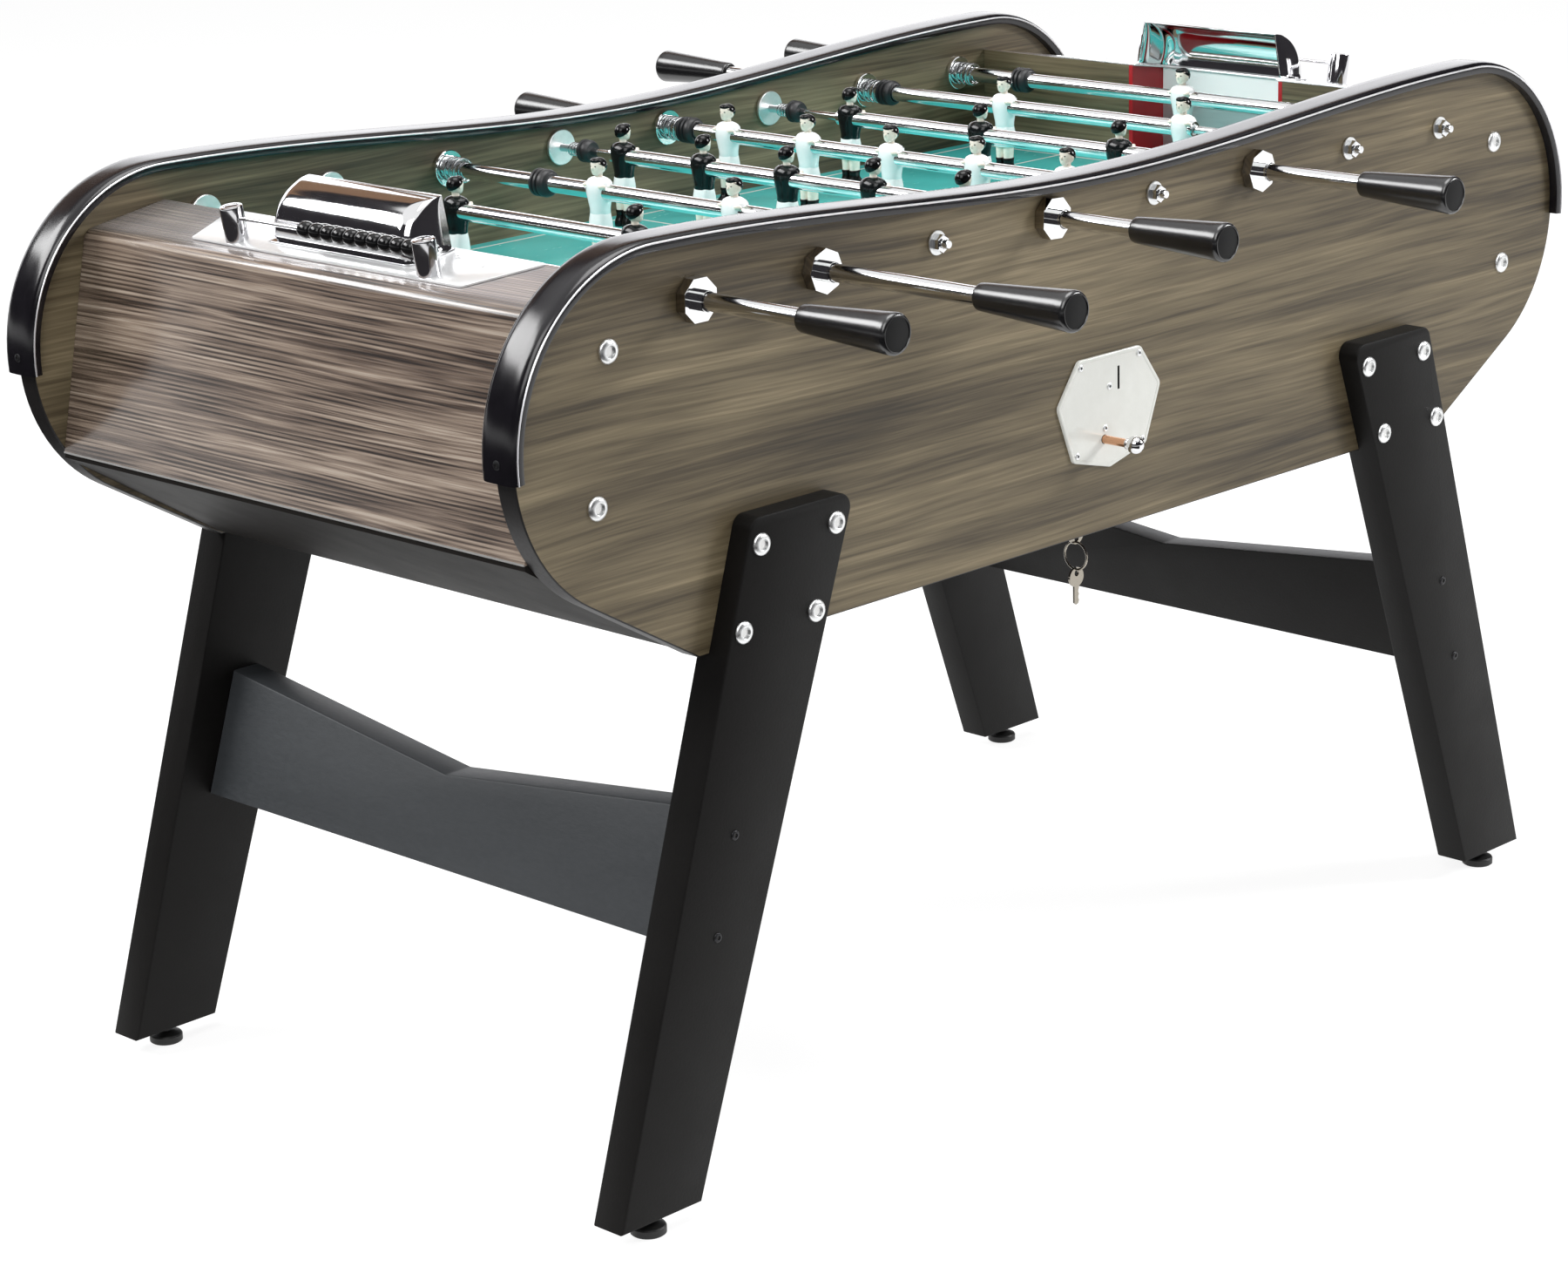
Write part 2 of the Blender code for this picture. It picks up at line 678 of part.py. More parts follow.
def stretcher(name, end):
    """Board between the two legs of one end, in line with them, its top dipping to the middle."""
    wide = LEG_IN - GAP
    outline = [(-wide, STRETCHER_LOW), (wide, STRETCHER_LOW), (wide, STRETCHER_HIGH)]
    outline += [(0, STRETCHER_DIP), (-wide, STRETCHER_HIGH)]
    rise = LEG_TOP_Z - LEG_FOOT_Z
    run = (sum(LEG_FOOT) - sum(LEG_TOP)) / 2
    half = STRETCHER_T / 2 / math.cos(math.atan2(run, rise))
    rows = []
    for shift in (-half, half):
        rows.append([Vector((end * (sum(leg_x(z)) / 2 + shift), y, z)) for y, z in outline])
    return finish(skin(rows, False), f"stretcher_{name}", GREY_WOOD)


def rod_place(place, player):
    """Frame of a rod: origin on its axis in the middle of the table, its handle towards -Y."""
    spot = Matrix.Translation((rod_x(place), 0, ROD_Z))
    return spot @ Matrix.Rotation(0 if player == "near" else math.pi, 4, "Z")


def man(y):
    """One player moulded round the tube, feet down and facing +X, its sections measured in half widths."""
    sections = (
        (-5.60, -0.68, 0.92, 0.80),
        (-4.96, -0.68, 0.72, 0.80),
        (-4.56, -0.53, 0.48, 0.72),
        (-2.96, -0.76, 0.74, 0.94),
        (-1.20, -0.70, 0.70, 0.84),
        (0.00, -0.88, 0.90, 1.00),
        (0.72, -0.78, 0.78, 1.00),
        (1.12, -0.42, 0.45, 0.45),
        (1.92, -0.62, 0.66, 0.51),
        (2.56, -0.36, 0.36, 0.29),
    )
    plan = ((1, 0.35), (0, 1), (-1, 0.35), (-1, -0.35), (0, -1), (1, -0.35))
    w = MAN_HALF_WIDTH
    rows = []
    for z, back, front, wide in sections:
        middle = (front + back) / 2
        deep = (front - back) / 2
        rows.append([Vector((w * (middle + deep * u), y + w * wide * v, w * z)) for u, v in plan])
    return skin(rows, False)


def ring(low, high, bore=None):
    """Rubber ring on the tube, waisted between its two ends."""
    waist = RING_R - 0.0018
    profile = [(RING_R, low), (waist, (low + high) / 2), (RING_R, high)]
    if bore is None:
        return lathe([(0, low)] + profile + [(0, high)], ROUND)
    return lathe([(bore, low)] + profile + [(bore, high)], ROUND)


def men_at(men, spacing, pushed):
    return [pushed + spacing * (k - (men - 1) / 2) for k in range(men)]


def tube_end(men, spacing, pushed):
    """Open end of the tube on the far side of the last man."""
    tail = KEEPER_TAIL if men == 1 else spacing * (men - 1) / 2 + MAN_HALF_WIDTH + TUBE_TAIL
    return pushed + tail


def player_tube(name, place, player, men, spacing, handle, pushed, ring_at):
    """Chromed tube with its men, hollow for the shaft."""
    low = pushed - handle - HANDLE_BORE_L
    high = tube_end(men, spacing, pushed)
    parts = [man(y) for y in men_at(men, spacing, pushed)]
    if ring_at is not None:
        middle = pushed - ring_at
        parts.append(ring(middle - RING_L / 2, middle + RING_L / 2))
    shape = union(rod_lathe(TUBE_R, low, high), joined(parts))
    bore = rod_lathe(TUBE_BORE_R, low - 0.01, high + 0.01)
    return finish(cut(shape, bore), f"tube_{name}", CHROME, rod_place(place, player))


def handle_grip(name, place, player, men, spacing, handle, pushed, ring_at):
    """Tapered grip moulded on the end of the tube, with a sunk disc in its rounded butt."""
    start = pushed - handle
    end = start - HANDLE_L
    bore = across(TUBE_R + GAP, ROUND)
    profile = [(0, start - HANDLE_BORE_L - GAP), (bore, start - HANDLE_BORE_L - GAP), (bore, start)]
    profile += [(HANDLE_THIN_R - 0.0012, start), (HANDLE_THIN_R, start - 0.0025)]
    profile += [(HANDLE_FAT_R, end + 0.0055), (HANDLE_FAT_R - 0.0009, end + 0.0016)]
    profile += [(HANDLE_DISC_R + 0.0008, end), (HANDLE_DISC_R, end + 0.0008), (0, end + 0.0008)]
    return finish(lathe(profile, ROUND), f"handle_{name}", HANDLE, rod_place(place, player))


def shaft(name, place, player, men, spacing, handle, pushed, ring_at):
    """Inner shaft bolted to the opposite wall, with its disc, buffer spring and rubber buffer."""
    disc = PANEL_IN - GAP - DISC_T
    stop = max(BUFFER_Y, tube_end(men, spacing, pushed) + RUNNING)
    seat = stop + BUFFER_L
    out = PANEL_OUT + GAP
    profile = [(0, PANEL_IN - SHAFT_REACH), (SHAFT_R, PANEL_IN - SHAFT_REACH), (SHAFT_R, stop)]
    profile += [(BUFFER_R - 0.002, stop), (BUFFER_R, stop + 0.003), (BUFFER_R, seat), (SHAFT_R, seat)]
    profile += [(SHAFT_R, disc), (DISC_R, disc), (DISC_R, disc + DISC_T), (SHAFT_R, disc + DISC_T)]
    profile += [(SHAFT_R, out), (WASHER_R, out), (WASHER_R, out + 0.002), (NUT_R, out + 0.002)]
    profile += [(NUT_R, out + 0.009), (SHAFT_R, out + 0.009), (SHAFT_R, out + 0.013), (0, out + 0.013)]
    shape = lathe(profile, THIN_ROUND)
    spring = coil(SMALL_COIL_R, seat, min(seat + SMALL_COIL_L, disc), SMALL_WIRE_R, SMALL_TURNS)
    return finish(union(shape, spring), f"shaft_{name}", CHROME, rod_place(place, player))


def bearing(name, place, player, men, spacing, handle, pushed, ring_at):
    """Rod bearing through the side panel: rosette, collar and sleeve outside, disc and spring inside."""
    bore = across(TUBE_R + RUNNING, ROUND)
    face = -PANEL_OUT - GAP
    inside = -PANEL_IN + GAP
    profile = [(bore, face - COLLAR_OUT), (COLLAR_R, face - COLLAR_OUT), (COLLAR_R, face - 0.001)]
    profile += [(SLEEVE_R, face - 0.001), (SLEEVE_R, inside), (DISC_R, inside)]
    profile += [(DISC_R, inside + DISC_T), (bore, inside + DISC_T)]
    shape = lathe(profile, ROUND)
    corner = across(ROSETTE_FLATS / 2, 8)
    hole = across(SLEEVE_R - 0.0015, ROUND)
    front = face - ROSETTE_T
    plate = lathe([(0, face), (corner, face), (corner, front + 0.002), (corner - 0.003, front), (0, front)], 8)
    plate = cut(plate, rod_lathe(hole, face - 0.02, face + 0.02))
    start = inside + DISC_T
    end = start + BIG_COIL_L
    spring = coil(BIG_COIL_R, start, end, BIG_WIRE_R, BIG_TURNS, ring_at is not None)
    shape = union(shape, plate, spring)
    if ring_at is None:
        shape = union(shape, ring(end, end + RING_L, bore))
    return finish(shape, f"bearing_{name}", CHROME, rod_place(place, player))


def coin_plate():
    """Enamelled shield on the near panel with a coin slot and the plunger's hole."""
    shield = ((-0.0445, 0.054), (0.0445, 0.054), (0.074, 0.014), (0.0525, -0.041), (0, -0.054))
    shield += ((-0.0525, -0.041), (-0.074, 0.014))
    back = -PANEL_OUT - GAP
    face = back - COIN_PLATE_T
    outline = [(COIN_X + x, COIN_Z + z) for x, z in shield]
    rim = [(COIN_X + 0.985 * x, COIN_Z + 0.985 * z) for x, z in shield]
    rows = [[Vector((x, back, z)) for x, z in outline], [Vector((x, face + 0.001, z)) for x, z in outline]]
    rows.append([Vector((x, face, z)) for x, z in rim])
    slot = box((SLOT_X - SLOT_W / 2, face - 0.01, SLOT_Z[0]), (SLOT_X + SLOT_W / 2, back + 0.01, SLOT_Z[1]))
    hole = rod_lathe(across(PIN_R + GAP, ROUND), face - 0.01, back + 0.01, ROUND, crosswise(PIN_X, PIN_Z))
    return finish(cut(skin(rows, False), joined([slot, hole])), "coin_plate", ENAMEL)


def coin_mech():
    """Coin chute and plunger guide on the inside of the near panel, over the cash box."""
    y0 = -PANEL_IN + GAP
    floor = BOTTOM_Z + BOTTOM_T + GAP
    x0, x1 = COIN_X - MECH_W / 2, COIN_X + MECH_W / 2
    shape = box((x0, y0, CASH_TOP_Z - 0.005), (x1, y0 + MECH_DEEP, MECH_TOP_Z))
    half = CASH_W / 2
    shape = union(shape, box((COIN_X - half, y0, floor), (COIN_X + half, y0 + CASH_DEEP, CASH_TOP_Z)))
    place = crosswise(PIN_X, PIN_Z)
    guide = rod_lathe(across(PIN_R + GAP, ROUND), y0 - 0.02, y0 + MECH_DEEP + 0.01, ROUND, place)
    low = (SLOT_X - SLOT_W / 2, y0 - 0.01, SLOT_Z[0] - 0.002)
    chute = box(low, (SLOT_X + SLOT_W / 2, y0 + MECH_DEEP * 0.6, SLOT_Z[1] + 0.002))
    return finish(cut(shape, joined([guide, chute])), "coin_mech", ZINC)


def coin_plunger():
    """Push rod with a ball knob that trips the coin mechanism."""
    face = -PANEL_OUT - GAP - COIN_PLATE_T
    ball = face - PIN_OUT
    profile = [(0, ball - BALL_R)]
    for degrees in (30, 60, 90, 120, 150):
        a = math.radians(degrees)
        if BALL_R * math.sin(a) > PIN_R:
            profile.append((BALL_R * math.sin(a), ball - BALL_R * math.cos(a)))
    tail = PIN_IN - PANEL_IN
    profile += [(PIN_R, ball + math.sqrt(BALL_R**2 - PIN_R**2)), (PIN_R, tail), (0, tail)]
    return finish(lathe(profile, ROUND), "coin_plunger", CHROME, crosswise(PIN_X, PIN_Z))


def cash_lock():
    """Lock of the cash box under the floor, with its key, ring and spare key hanging from it."""
    low = BOTTOM_Z - GAP
    profile = [(0, low - 0.003), (0.013, low - 0.003), (0.013, low), (LOCK_R, low)]
    profile += [(LOCK_R, BOTTOM_Z + BOTTOM_T - 0.001), (0, BOTTOM_Z + BOTTOM_T - 0.001)]
    shape = lathe(profile, ROUND, upright(0, 0))
    blade = box((-KEY_W, -KEY_T, low - 0.014), (KEY_W, KEY_T, low - 0.002))
    bow = rod_lathe(KEY_BOW_R, -KEY_T, KEY_T, ROUND, Matrix.Translation((0, 0, low - 0.021)))
    loop = []
    for k in range(ROUND):
        a = 2 * math.pi * k / ROUND
        out = Vector((0, math.cos(a), math.sin(a)))
        middle = Vector((0, 0, low - 0.042)) + KEY_RING_R * out
        across_wire = (out, Vector((1, 0, 0)), -out, Vector((-1, 0, 0)))
        loop.append([middle + KEY_T * arm for arm in across_wire])
    split = skin(loop, True)
    spare = rod_lathe(KEY_BOW_R, -KEY_T, KEY_T, ROUND, Matrix.Translation((0, 0, low - 0.063)))
    tip = box((-KEY_W, -KEY_T * 0.9, low - 0.090), (KEY_W, KEY_T * 0.9, low - 0.071))
    shape = union(shape, blade, bow, split, spare, tip)
    return finish(shape, "cash_lock", ZINC, Matrix.Translation((LOCK_X, LOCK_Y, 0)))


def main():
    for old in list(bpy.data.objects):
        bpy.data.objects.remove(old)
    for side in ("near", "far"):
        side_panel(side)
        edge_trim(side)
    for name, end in (("left", -1), ("right", 1)):
        end_cabinet(name, end)
        end_wall(name, end)
        goal_box(name, end)
        goal_plate(name, end)
        goal_hood(name, end)
        counter_beads(name, end)
        stretcher(name, end)
        leg(f"near_{name}", end, -1)
        leg(f"far_{name}", end, 1)
    playfield()
    bottom_panel()
    for rod in RODS:
        player_tube(*rod)
        handle_grip(*rod)
        shaft(*rod)
        bearing(*rod)
    coin_plate()
    coin_mech()
    coin_plunger()
    cash_lock()


main()
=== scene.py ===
import math

import bmesh
import bpy
from mathutils import Matrix, Vector


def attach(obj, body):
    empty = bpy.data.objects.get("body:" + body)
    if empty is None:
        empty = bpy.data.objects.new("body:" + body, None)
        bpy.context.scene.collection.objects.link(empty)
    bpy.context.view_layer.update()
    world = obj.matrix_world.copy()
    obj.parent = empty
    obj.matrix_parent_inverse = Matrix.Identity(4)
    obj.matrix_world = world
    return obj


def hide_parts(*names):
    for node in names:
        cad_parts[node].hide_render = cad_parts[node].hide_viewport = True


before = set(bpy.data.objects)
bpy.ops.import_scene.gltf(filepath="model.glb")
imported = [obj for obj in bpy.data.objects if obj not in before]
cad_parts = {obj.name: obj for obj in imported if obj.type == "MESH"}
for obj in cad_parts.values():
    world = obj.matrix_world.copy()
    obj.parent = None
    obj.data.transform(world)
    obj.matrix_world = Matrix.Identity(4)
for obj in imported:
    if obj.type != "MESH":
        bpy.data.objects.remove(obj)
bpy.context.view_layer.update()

scene = bpy.context.scene


# The studio: a plain white floor under soft lamps, the brightest one high at the back on the left. The table is
# seen from its near left corner, from a little over the rim, through a long lens. Dark flags round the room and
# on the floor at the left and in front, a brown band and a bright glowing card behind are painted reflections:
# they show only in metal and gloss, as bands, and light nothing and cast no shadow.
class Wire:
    """One socket of a node tree. Sums and products of wires add Math nodes."""

    def __init__(self, tree, socket=None):
        self.tree = tree
        self.socket = socket

    def put(self, target, value):
        if isinstance(value, Wire):
            self.tree.links.new(value.socket, target)
        elif target.type == "RGBA" and len(value) == 3:
            target.default_value = (*value, 1)
        else:
            target.default_value = value

    def node(self, kind, settings=None, sockets=None, out=0):
        """Adds a node of this type: its settings first, then the values or links of its sockets."""
        made = self.tree.nodes.new("ShaderNode" + kind)
        for name, value in (settings or {}).items():
            if name == "stops":
                stops = made.color_ramp.elements
                stops.remove(stops[1])
                stops[0].position, stops[0].color = value[0][0], (*value[0][1], 1)
                for place, colour in value[1:]:
                    stops.new(place).color = (*colour, 1)
            else:
                setattr(made, name, value)
        for name, value in (sockets or {}).items():
            self.put(made.inputs[name], value)
        return Wire(self.tree, made.outputs[out])

    def feed(self, sockets):
        """Sets or links sockets of the node that this wire comes from."""
        for name, value in sockets.items():
            self.put(self.socket.node.inputs[name], value)

    def math(self, operation, first, second=0.0):
        return self.node("Math", {"operation": operation}, {0: first, 1: second})

    def __add__(self, other):
        return self.math("ADD", self, other)

    def __radd__(self, other):
        return self.math("ADD", other, self)

    def __sub__(self, other):
        return self.math("SUBTRACT", self, other)

    def __rsub__(self, other):
        return self.math("SUBTRACT", other, self)

    def __mul__(self, other):
        return self.math("MULTIPLY", self, other)

    def __rmul__(self, other):
        return self.math("MULTIPLY", other, self)

    def __truediv__(self, other):
        return self.math("DIVIDE", self, other)

    def __pow__(self, other):
        return self.math("POWER", self, other)

    def __abs__(self):
        return self.math("ABSOLUTE", self)

    def least(self, other):
        return self.math("MINIMUM", self, other)

    def most(self, other):
        return self.math("MAXIMUM", self, other)

    def above(self, level, soft):
        """0 under a level and 1 over it, with a soft step this wide."""
        return ((self - (level - soft / 2)) / soft).most(0.0).least(1.0)

    def mixed(self, first, second):
        """Colour between two, by this wire."""
        return self.node("Mix", {"data_type": "RGBA"}, {0: self, 6: first, 7: second}, 2)


def seen(wire):
    """1 for a ray from the camera, from metal or through glass, and 0 for light that falls on things."""
    rays = [wire.node("LightPath", out=f"Is {kind} Ray") for kind in ("Camera", "Glossy", "Transmission")]
    return rays[0].most(rays[1]).most(rays[2])


scene.view_settings.view_transform = "Standard"

camera = bpy.data.objects.new("camera", bpy.data.cameras.new("camera"))
camera.data.sensor_fit = "HORIZONTAL"
camera.data.sensor_width = 36
camera.data.lens = 93.07
camera.data.clip_end = 60
to_right, to_top, to_back = (0.6953, -0.7182, -0.0254), (0.2198, 0.1789, 0.9590), (-0.6843, -0.6724, 0.2822)
turn = Matrix((to_right, to_top, to_back)).transposed().to_4x4()
camera.matrix_world = Matrix.Translation((-2.8134, -2.6778, 1.4753)) @ turn
scene.collection.objects.link(camera)
scene.camera = camera

for name, place, wide, high, power in (
    ("lamp_left", (-4.2, -2.0, 4.2), 3.2, 3.2, 125),
    ("lamp_front", (4.0, -3.4, 3.0), 1.5, 1.5, 170),
    ("lamp_back", (-3.2, 3.5, 4.0), 3.6, 1.7, 215),
    ("lamp_top", (0.3, -0.2, 4.4), 2.4, 2.4, 92),
):
    lamp = bpy.data.objects.new(name, bpy.data.lights.new(name, "AREA"))
    lamp.data.shape = "RECTANGLE"
    lamp.data.size, lamp.data.size_y = wide, high
    lamp.data.energy = power
    aim = Vector((0, 0, 0.6)) - Vector(place)
    lamp.matrix_world = Matrix.Translation(place) @ aim.to_track_quat("-Z", "Y").to_matrix().to_4x4()
    scene.collection.objects.link(lamp)

scene.world = bpy.data.worlds.new("studio")
scene.world.use_nodes = True
sky = Wire(scene.world.node_tree, scene.world.node_tree.nodes["Background"].outputs[0])
sky.feed({"Color": (1, 1, 1), "Strength": 0.27 + seen(sky) * 0.73})

floor_white = bpy.data.materials.new("floor_white")
floor_white.use_nodes = True
floor_white.node_tree.nodes.remove(floor_white.node_tree.nodes["Principled BSDF"])
ground = Wire(floor_white.node_tree, floor_white.node_tree.nodes["Material Output"].inputs[0])
plain = ground.node("BsdfDiffuse", sockets={"Color": (0.80, 0.80, 0.80)})
dull = ground.node("BsdfDiffuse", sockets={"Color": (0.30, 0.30, 0.30)})
glow = ground.node("Emission", sockets={"Color": (1, 1, 1), "Strength": 0.86})
white = ground.node("AddShader", sockets={0: dull, 1: glow})
ground.feed({"Surface": ground.node("MixShader", sockets={0: seen(ground), 1: plain, 2: white})})

sheet = bmesh.new()
bmesh.ops.create_grid(sheet, x_segments=4, y_segments=4, size=22)
floor_mesh = bpy.data.meshes.new("floor")
sheet.to_mesh(floor_mesh)
sheet.free()
floor_mesh.materials.append(floor_white)
floor = bpy.data.objects.new("floor", floor_mesh)
scene.collection.objects.link(floor)

for name, glow, first, last, low, high in (
    ("flag_room", (0.030, 0.028, 0.032), 98, 384, 1, 43),
    ("flag_over", (0.030, 0.028, 0.032), 24, 98, 38, 43),
    ("flag_behind", (0.27, 0.165, 0.105), 24, 98, 25, 38),
    ("flag_floor", (0.030, 0.028, 0.030), 98, 276, None, None),
    ("card_behind", (2.0, 2.0, 2.05), 24, 98, 1, 25),
):
    # Each sheet glows in its own colour and is seen only by gloss: a painted reflection that lights nothing.
    reflection_band_look = bpy.data.materials.new(name)
    reflection_band_look.use_nodes = True
    band_wire = Wire(reflection_band_look.node_tree, reflection_band_look.node_tree.nodes["Principled BSDF"].outputs[0])
    band_wire.feed({"Base Color": (0, 0, 0), "Roughness": 1.0, "Specular IOR Level": 0.0})
    band_wire.feed({"Emission Color": glow, "Emission Strength": 1.0})
    cards = bmesh.new()
    rows = []
    for j in range(7):
        if low is None:
            reach, height = 1.15 + 1.6 * j, 0.003
        else:
            lift = math.radians(low + (high - low) * j / 6)
            reach, height = 12 * math.cos(lift), 0.8 + 12 * math.sin(lift)
        around = [math.radians(first + (last - first) * k / 48) for k in range(49)]
        rows.append([cards.verts.new((reach * math.cos(a), reach * math.sin(a), height)) for a in around])
    for one, two in zip(rows, rows[1:]):
        for k in range(48):
            cards.faces.new((one[k], one[k + 1], two[k + 1], two[k]))
    card_mesh = bpy.data.meshes.new(name)
    cards.to_mesh(card_mesh)
    cards.free()
    card_mesh.materials.append(reflection_band_look)
    card = bpy.data.objects.new(name, card_mesh)
    scene.collection.objects.link(card)
    card.visible_camera = card.visible_diffuse = card.visible_shadow = card.visible_transmission = False


# Side panels: chipboard faced in grey-brown walnut laminate, its grain running along the table. The humped top
# edge goes into the trim, and the bare edges below are banded black. Bored for bearings, studs and the coin slot.
def paint(red, green, blue):
    """Linear colour from a display colour of 0 to 255."""
    shares = [level / 255 for level in (red, green, blue)]
    return tuple(v / 12.92 if v <= 0.04 else ((v + 0.055) / 1.055) ** 2.4 for v in shares)


def finish(name, colour, roughness, **sockets):
    """A material and the wire of its surface."""
    material = bpy.data.materials.new(name)
    material.use_nodes = True
    surface = material.node_tree.nodes["Principled BSDF"]
    wire = Wire(material.node_tree, surface.outputs[0])
    wire.feed({"Base Color": colour, "Roughness": roughness})
    wire.feed({key.replace("_", " "): value for key, value in sockets.items()})
    return material, wire


def spot(wire, stretch=(1, 1, 1)):
    """Place on the piece in metres, stretched."""
    here = wire.node("TexCoord", out="Object")
    return wire.node("VectorMath", {"operation": "MULTIPLY"}, {0: here, 1: stretch})


def noise(wire, stretch, detail=3.0, rough=0.5, bend=0.0):
    """Cloudy pattern from 0 to 1, with stretch cells to the metre along each axis."""
    sockets = {"Vector": spot(wire, stretch), "Scale": 1.0, "Detail": detail}
    return wire.node("TexNoise", None, sockets | {"Roughness": rough, "Distortion": bend})


def bump(wire, height, depth, strength=1.0):
    return wire.node("Bump", None, {"Strength": strength, "Distance": depth, "Height": height})


def ramp(wire, factor, *stops):
    return wire.node("ValToRGB", {"stops": stops}, {0: factor})


def walnut_laminate(name, along):
    """Grey-brown walnut print: long bent grain lines, fine pores, and soft dark smudges in the figure."""
    long = {"x": Vector((1, 0, 0)), "y": Vector((0, 1, 0))}[along]
    cross = Vector((1, 1, 1)) - long
    material, wire = finish(name, paint(104, 94, 76), 0.42, Specular_IOR_Level=0.4)
    x, y, z = (wire.node("SeparateXYZ", None, {0: spot(wire)}, axis) for axis in ("X", "Y", "Z"))
    bend = noise(wire, 1.3 * long + 4.5 * cross, 2, 0.45)
    bent = wire.node("CombineXYZ", None, {"X": x, "Y": y, "Z": z + bend * 0.045})

    def grain(stretch, detail, rough):
        at = wire.node("VectorMath", {"operation": "MULTIPLY"}, {0: bent, 1: stretch})
        return wire.node("TexNoise", None, {"Vector": at, "Scale": 1.0, "Detail": detail, "Roughness": rough})

    smudge = grain(2.4 * long + 11 * cross, 2, 0.5)
    lines = grain(1.3 * long + 64 * cross, 5, 0.68)
    pores = grain(6 * long + 260 * cross, 3, 0.62)
    tone = smudge * 0.34 + lines * 0.34 + pores * 0.32
    colour = ramp(
        wire,
        tone,
        (0.37, paint(54, 46, 33)),
        (0.44, paint(78, 68, 50)),
        (0.50, paint(98, 87, 66)),
        (0.57, paint(118, 106, 82)),
        (0.65, paint(145, 131, 104)),
    )
    wire.feed({"Base Color": colour, "Roughness": 0.34 + lines * 0.20})
    wire.feed({"Normal": bump(wire, lines * 0.6 + pores * 0.4, 0.0003, 0.5)})
    return material


def inset(outline, by):
    """The outline drawn in by this much."""
    points = [Vector(p) for p in outline]
    after = points[1:] + points[:1]
    turned = math.copysign(1, sum(a.x * b.y - b.x * a.y for a, b in zip(points, after)))
    sides = [(b - a).normalized() for a, b in zip(points, after)]
    normals = [turned * Vector((-side.y, side.x)) for side in sides]
    moved = []
    for k, point in enumerate(points):
        one, two = normals[k - 1], normals[k]
        moved.append(point + (one + two) * by / max(1 + one.dot(two), 0.3))
    return moved


def skin(bm, rows, look=0, closed=False, caps=None):
    """Surface through rows of points round a shape. A row of one point is a pole; closed joins the ends."""
    made = [[bm.verts.new(point) for point in row] for row in rows]
    pairs = list(zip(made, made[1:])) + ([(made[-1], made[0])] if closed else [])
    for low, high in pairs:
        count = max(len(low), len(high))
        for k in range(count):
            n = (k + 1) % count
            corners = (low[k % len(low)], low[n % len(low)], high[n % len(high)], high[k % len(high)])
            face = list(dict.fromkeys(corners))
            if len(face) > 2:
                bm.faces.new(face).material_index = look
    for row in () if closed else (made[0], made[-1]):
        if len(row) > 2:
            bm.faces.new(row).material_index = look if caps is None else caps


def slab(bm, outline, low, high, rim, place, faces=0, sides=0):
    """Board cut to an outline, its rims eased. place turns (u, v, depth) into a point."""
    ease = 0.293 * rim
    steps = ((low, rim), (low + ease, ease), (low + rim, 0), (high - rim, 0), (high - ease, ease), (high, rim))
    rows = [[place(u, v, depth) for u, v in inset(outline, by)] for depth, by in steps]
    skin(bm, rows, sides, caps=faces)


def upright_board(u, v, depth):
    return Vector((u, depth, v))


def lathe(bm, profile, sides, place=None, look=0):
    """Turned shape about Y from (radius, y) points: it runs from axis to axis, or closes on itself."""
    angles = [2 * math.pi * (k + 0.5) / sides for k in range(sides)]
    rows = []
    for radius, y in profile:
        around = angles if radius else angles[:1]
        rows.append([Vector((radius * math.cos(a), y, radius * math.sin(a))) for a in around])
    if place is not None:
        rows = [[place @ point for point in row] for row in rows]
    skin(bm, rows, look, closed=profile[0][0] != 0)


def carve(bm, cutter):
    """Takes one mesh out of another."""
    shapes = []
    for source in (bm, cutter):
        bmesh.ops.recalc_face_normals(source, faces=source.faces)
        mesh = bpy.data.meshes.new("work")
        source.to_mesh(mesh)
        source.free()
        for _ in range(3):
            mesh.materials.append(None)
        shapes.append(bpy.data.objects.new("work", mesh))
        scene.collection.objects.link(shapes[-1])
    work = shapes[0].modifiers.new("work", "BOOLEAN")
    work.operation, work.solver, work.object = "DIFFERENCE", "EXACT", shapes[1]
    bpy.context.view_layer.update()
    made = bmesh.new()
    made.from_object(shapes[0], bpy.context.evaluated_depsgraph_get())
    for shape in shapes:
        mesh = shape.data
        bpy.data.objects.remove(shape)
        bpy.data.meshes.remove(mesh)
    return made


def drill(bm, radius, low, high, sides, place):
    """Adds a round cutter about Y that goes right through a board."""
    lathe(bm, [(0, low - 0.01), (radius, low - 0.01), (radius, high + 0.01), (0, high + 0.01)], sides, place, 1)


def punch(bm, plan, low, high):
    """Adds a cutter along Y that goes right through a board, from a plan of (x, z)."""
    skin(bm, [[Vector((x, y, z)) for x, z in plan] for y in (low - 0.01, high + 0.01)], 1)


def piece(name, bm, looks, slot, body, *nodes, sharp=35):
    """Makes a piece of the table: its finishes, the body that it rides on and the solids that it stands for."""
    bmesh.ops.recalc_face_normals(bm, faces=bm.faces)
    mesh = bpy.data.meshes.new(name)
    bm.to_mesh(mesh)
    bm.free()
    for look in looks:
        mesh.materials.append(look)
    mesh.shade_smooth()
    mesh.set_sharp_from_angle(angle=math.radians(sharp))
    made = bpy.data.objects.new(name, mesh)
    scene.collection.objects.link(made)
    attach(made, body)
    if nodes:
        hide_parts(*nodes)
    return made


panel_out, panel_in, panel_bottom = 0.333, 0.311, 0.496
hump_x, hump_z, edge_r, mid_drop = 0.575, 0.700, 0.154, 0.026
panel_slant, trim_end = math.radians(60), math.radians(-5)
rod_apart, rod_z, plunger_z = 0.150, 0.803, 0.584
near_places, far_places = (-3.5, -2.5, -0.5, 1.5), (-1.5, 0.5, 2.5, 3.5)
bearing_hole_r, stud_hole_r, pin_hole_r = 0.0122, 0.0065, 0.006


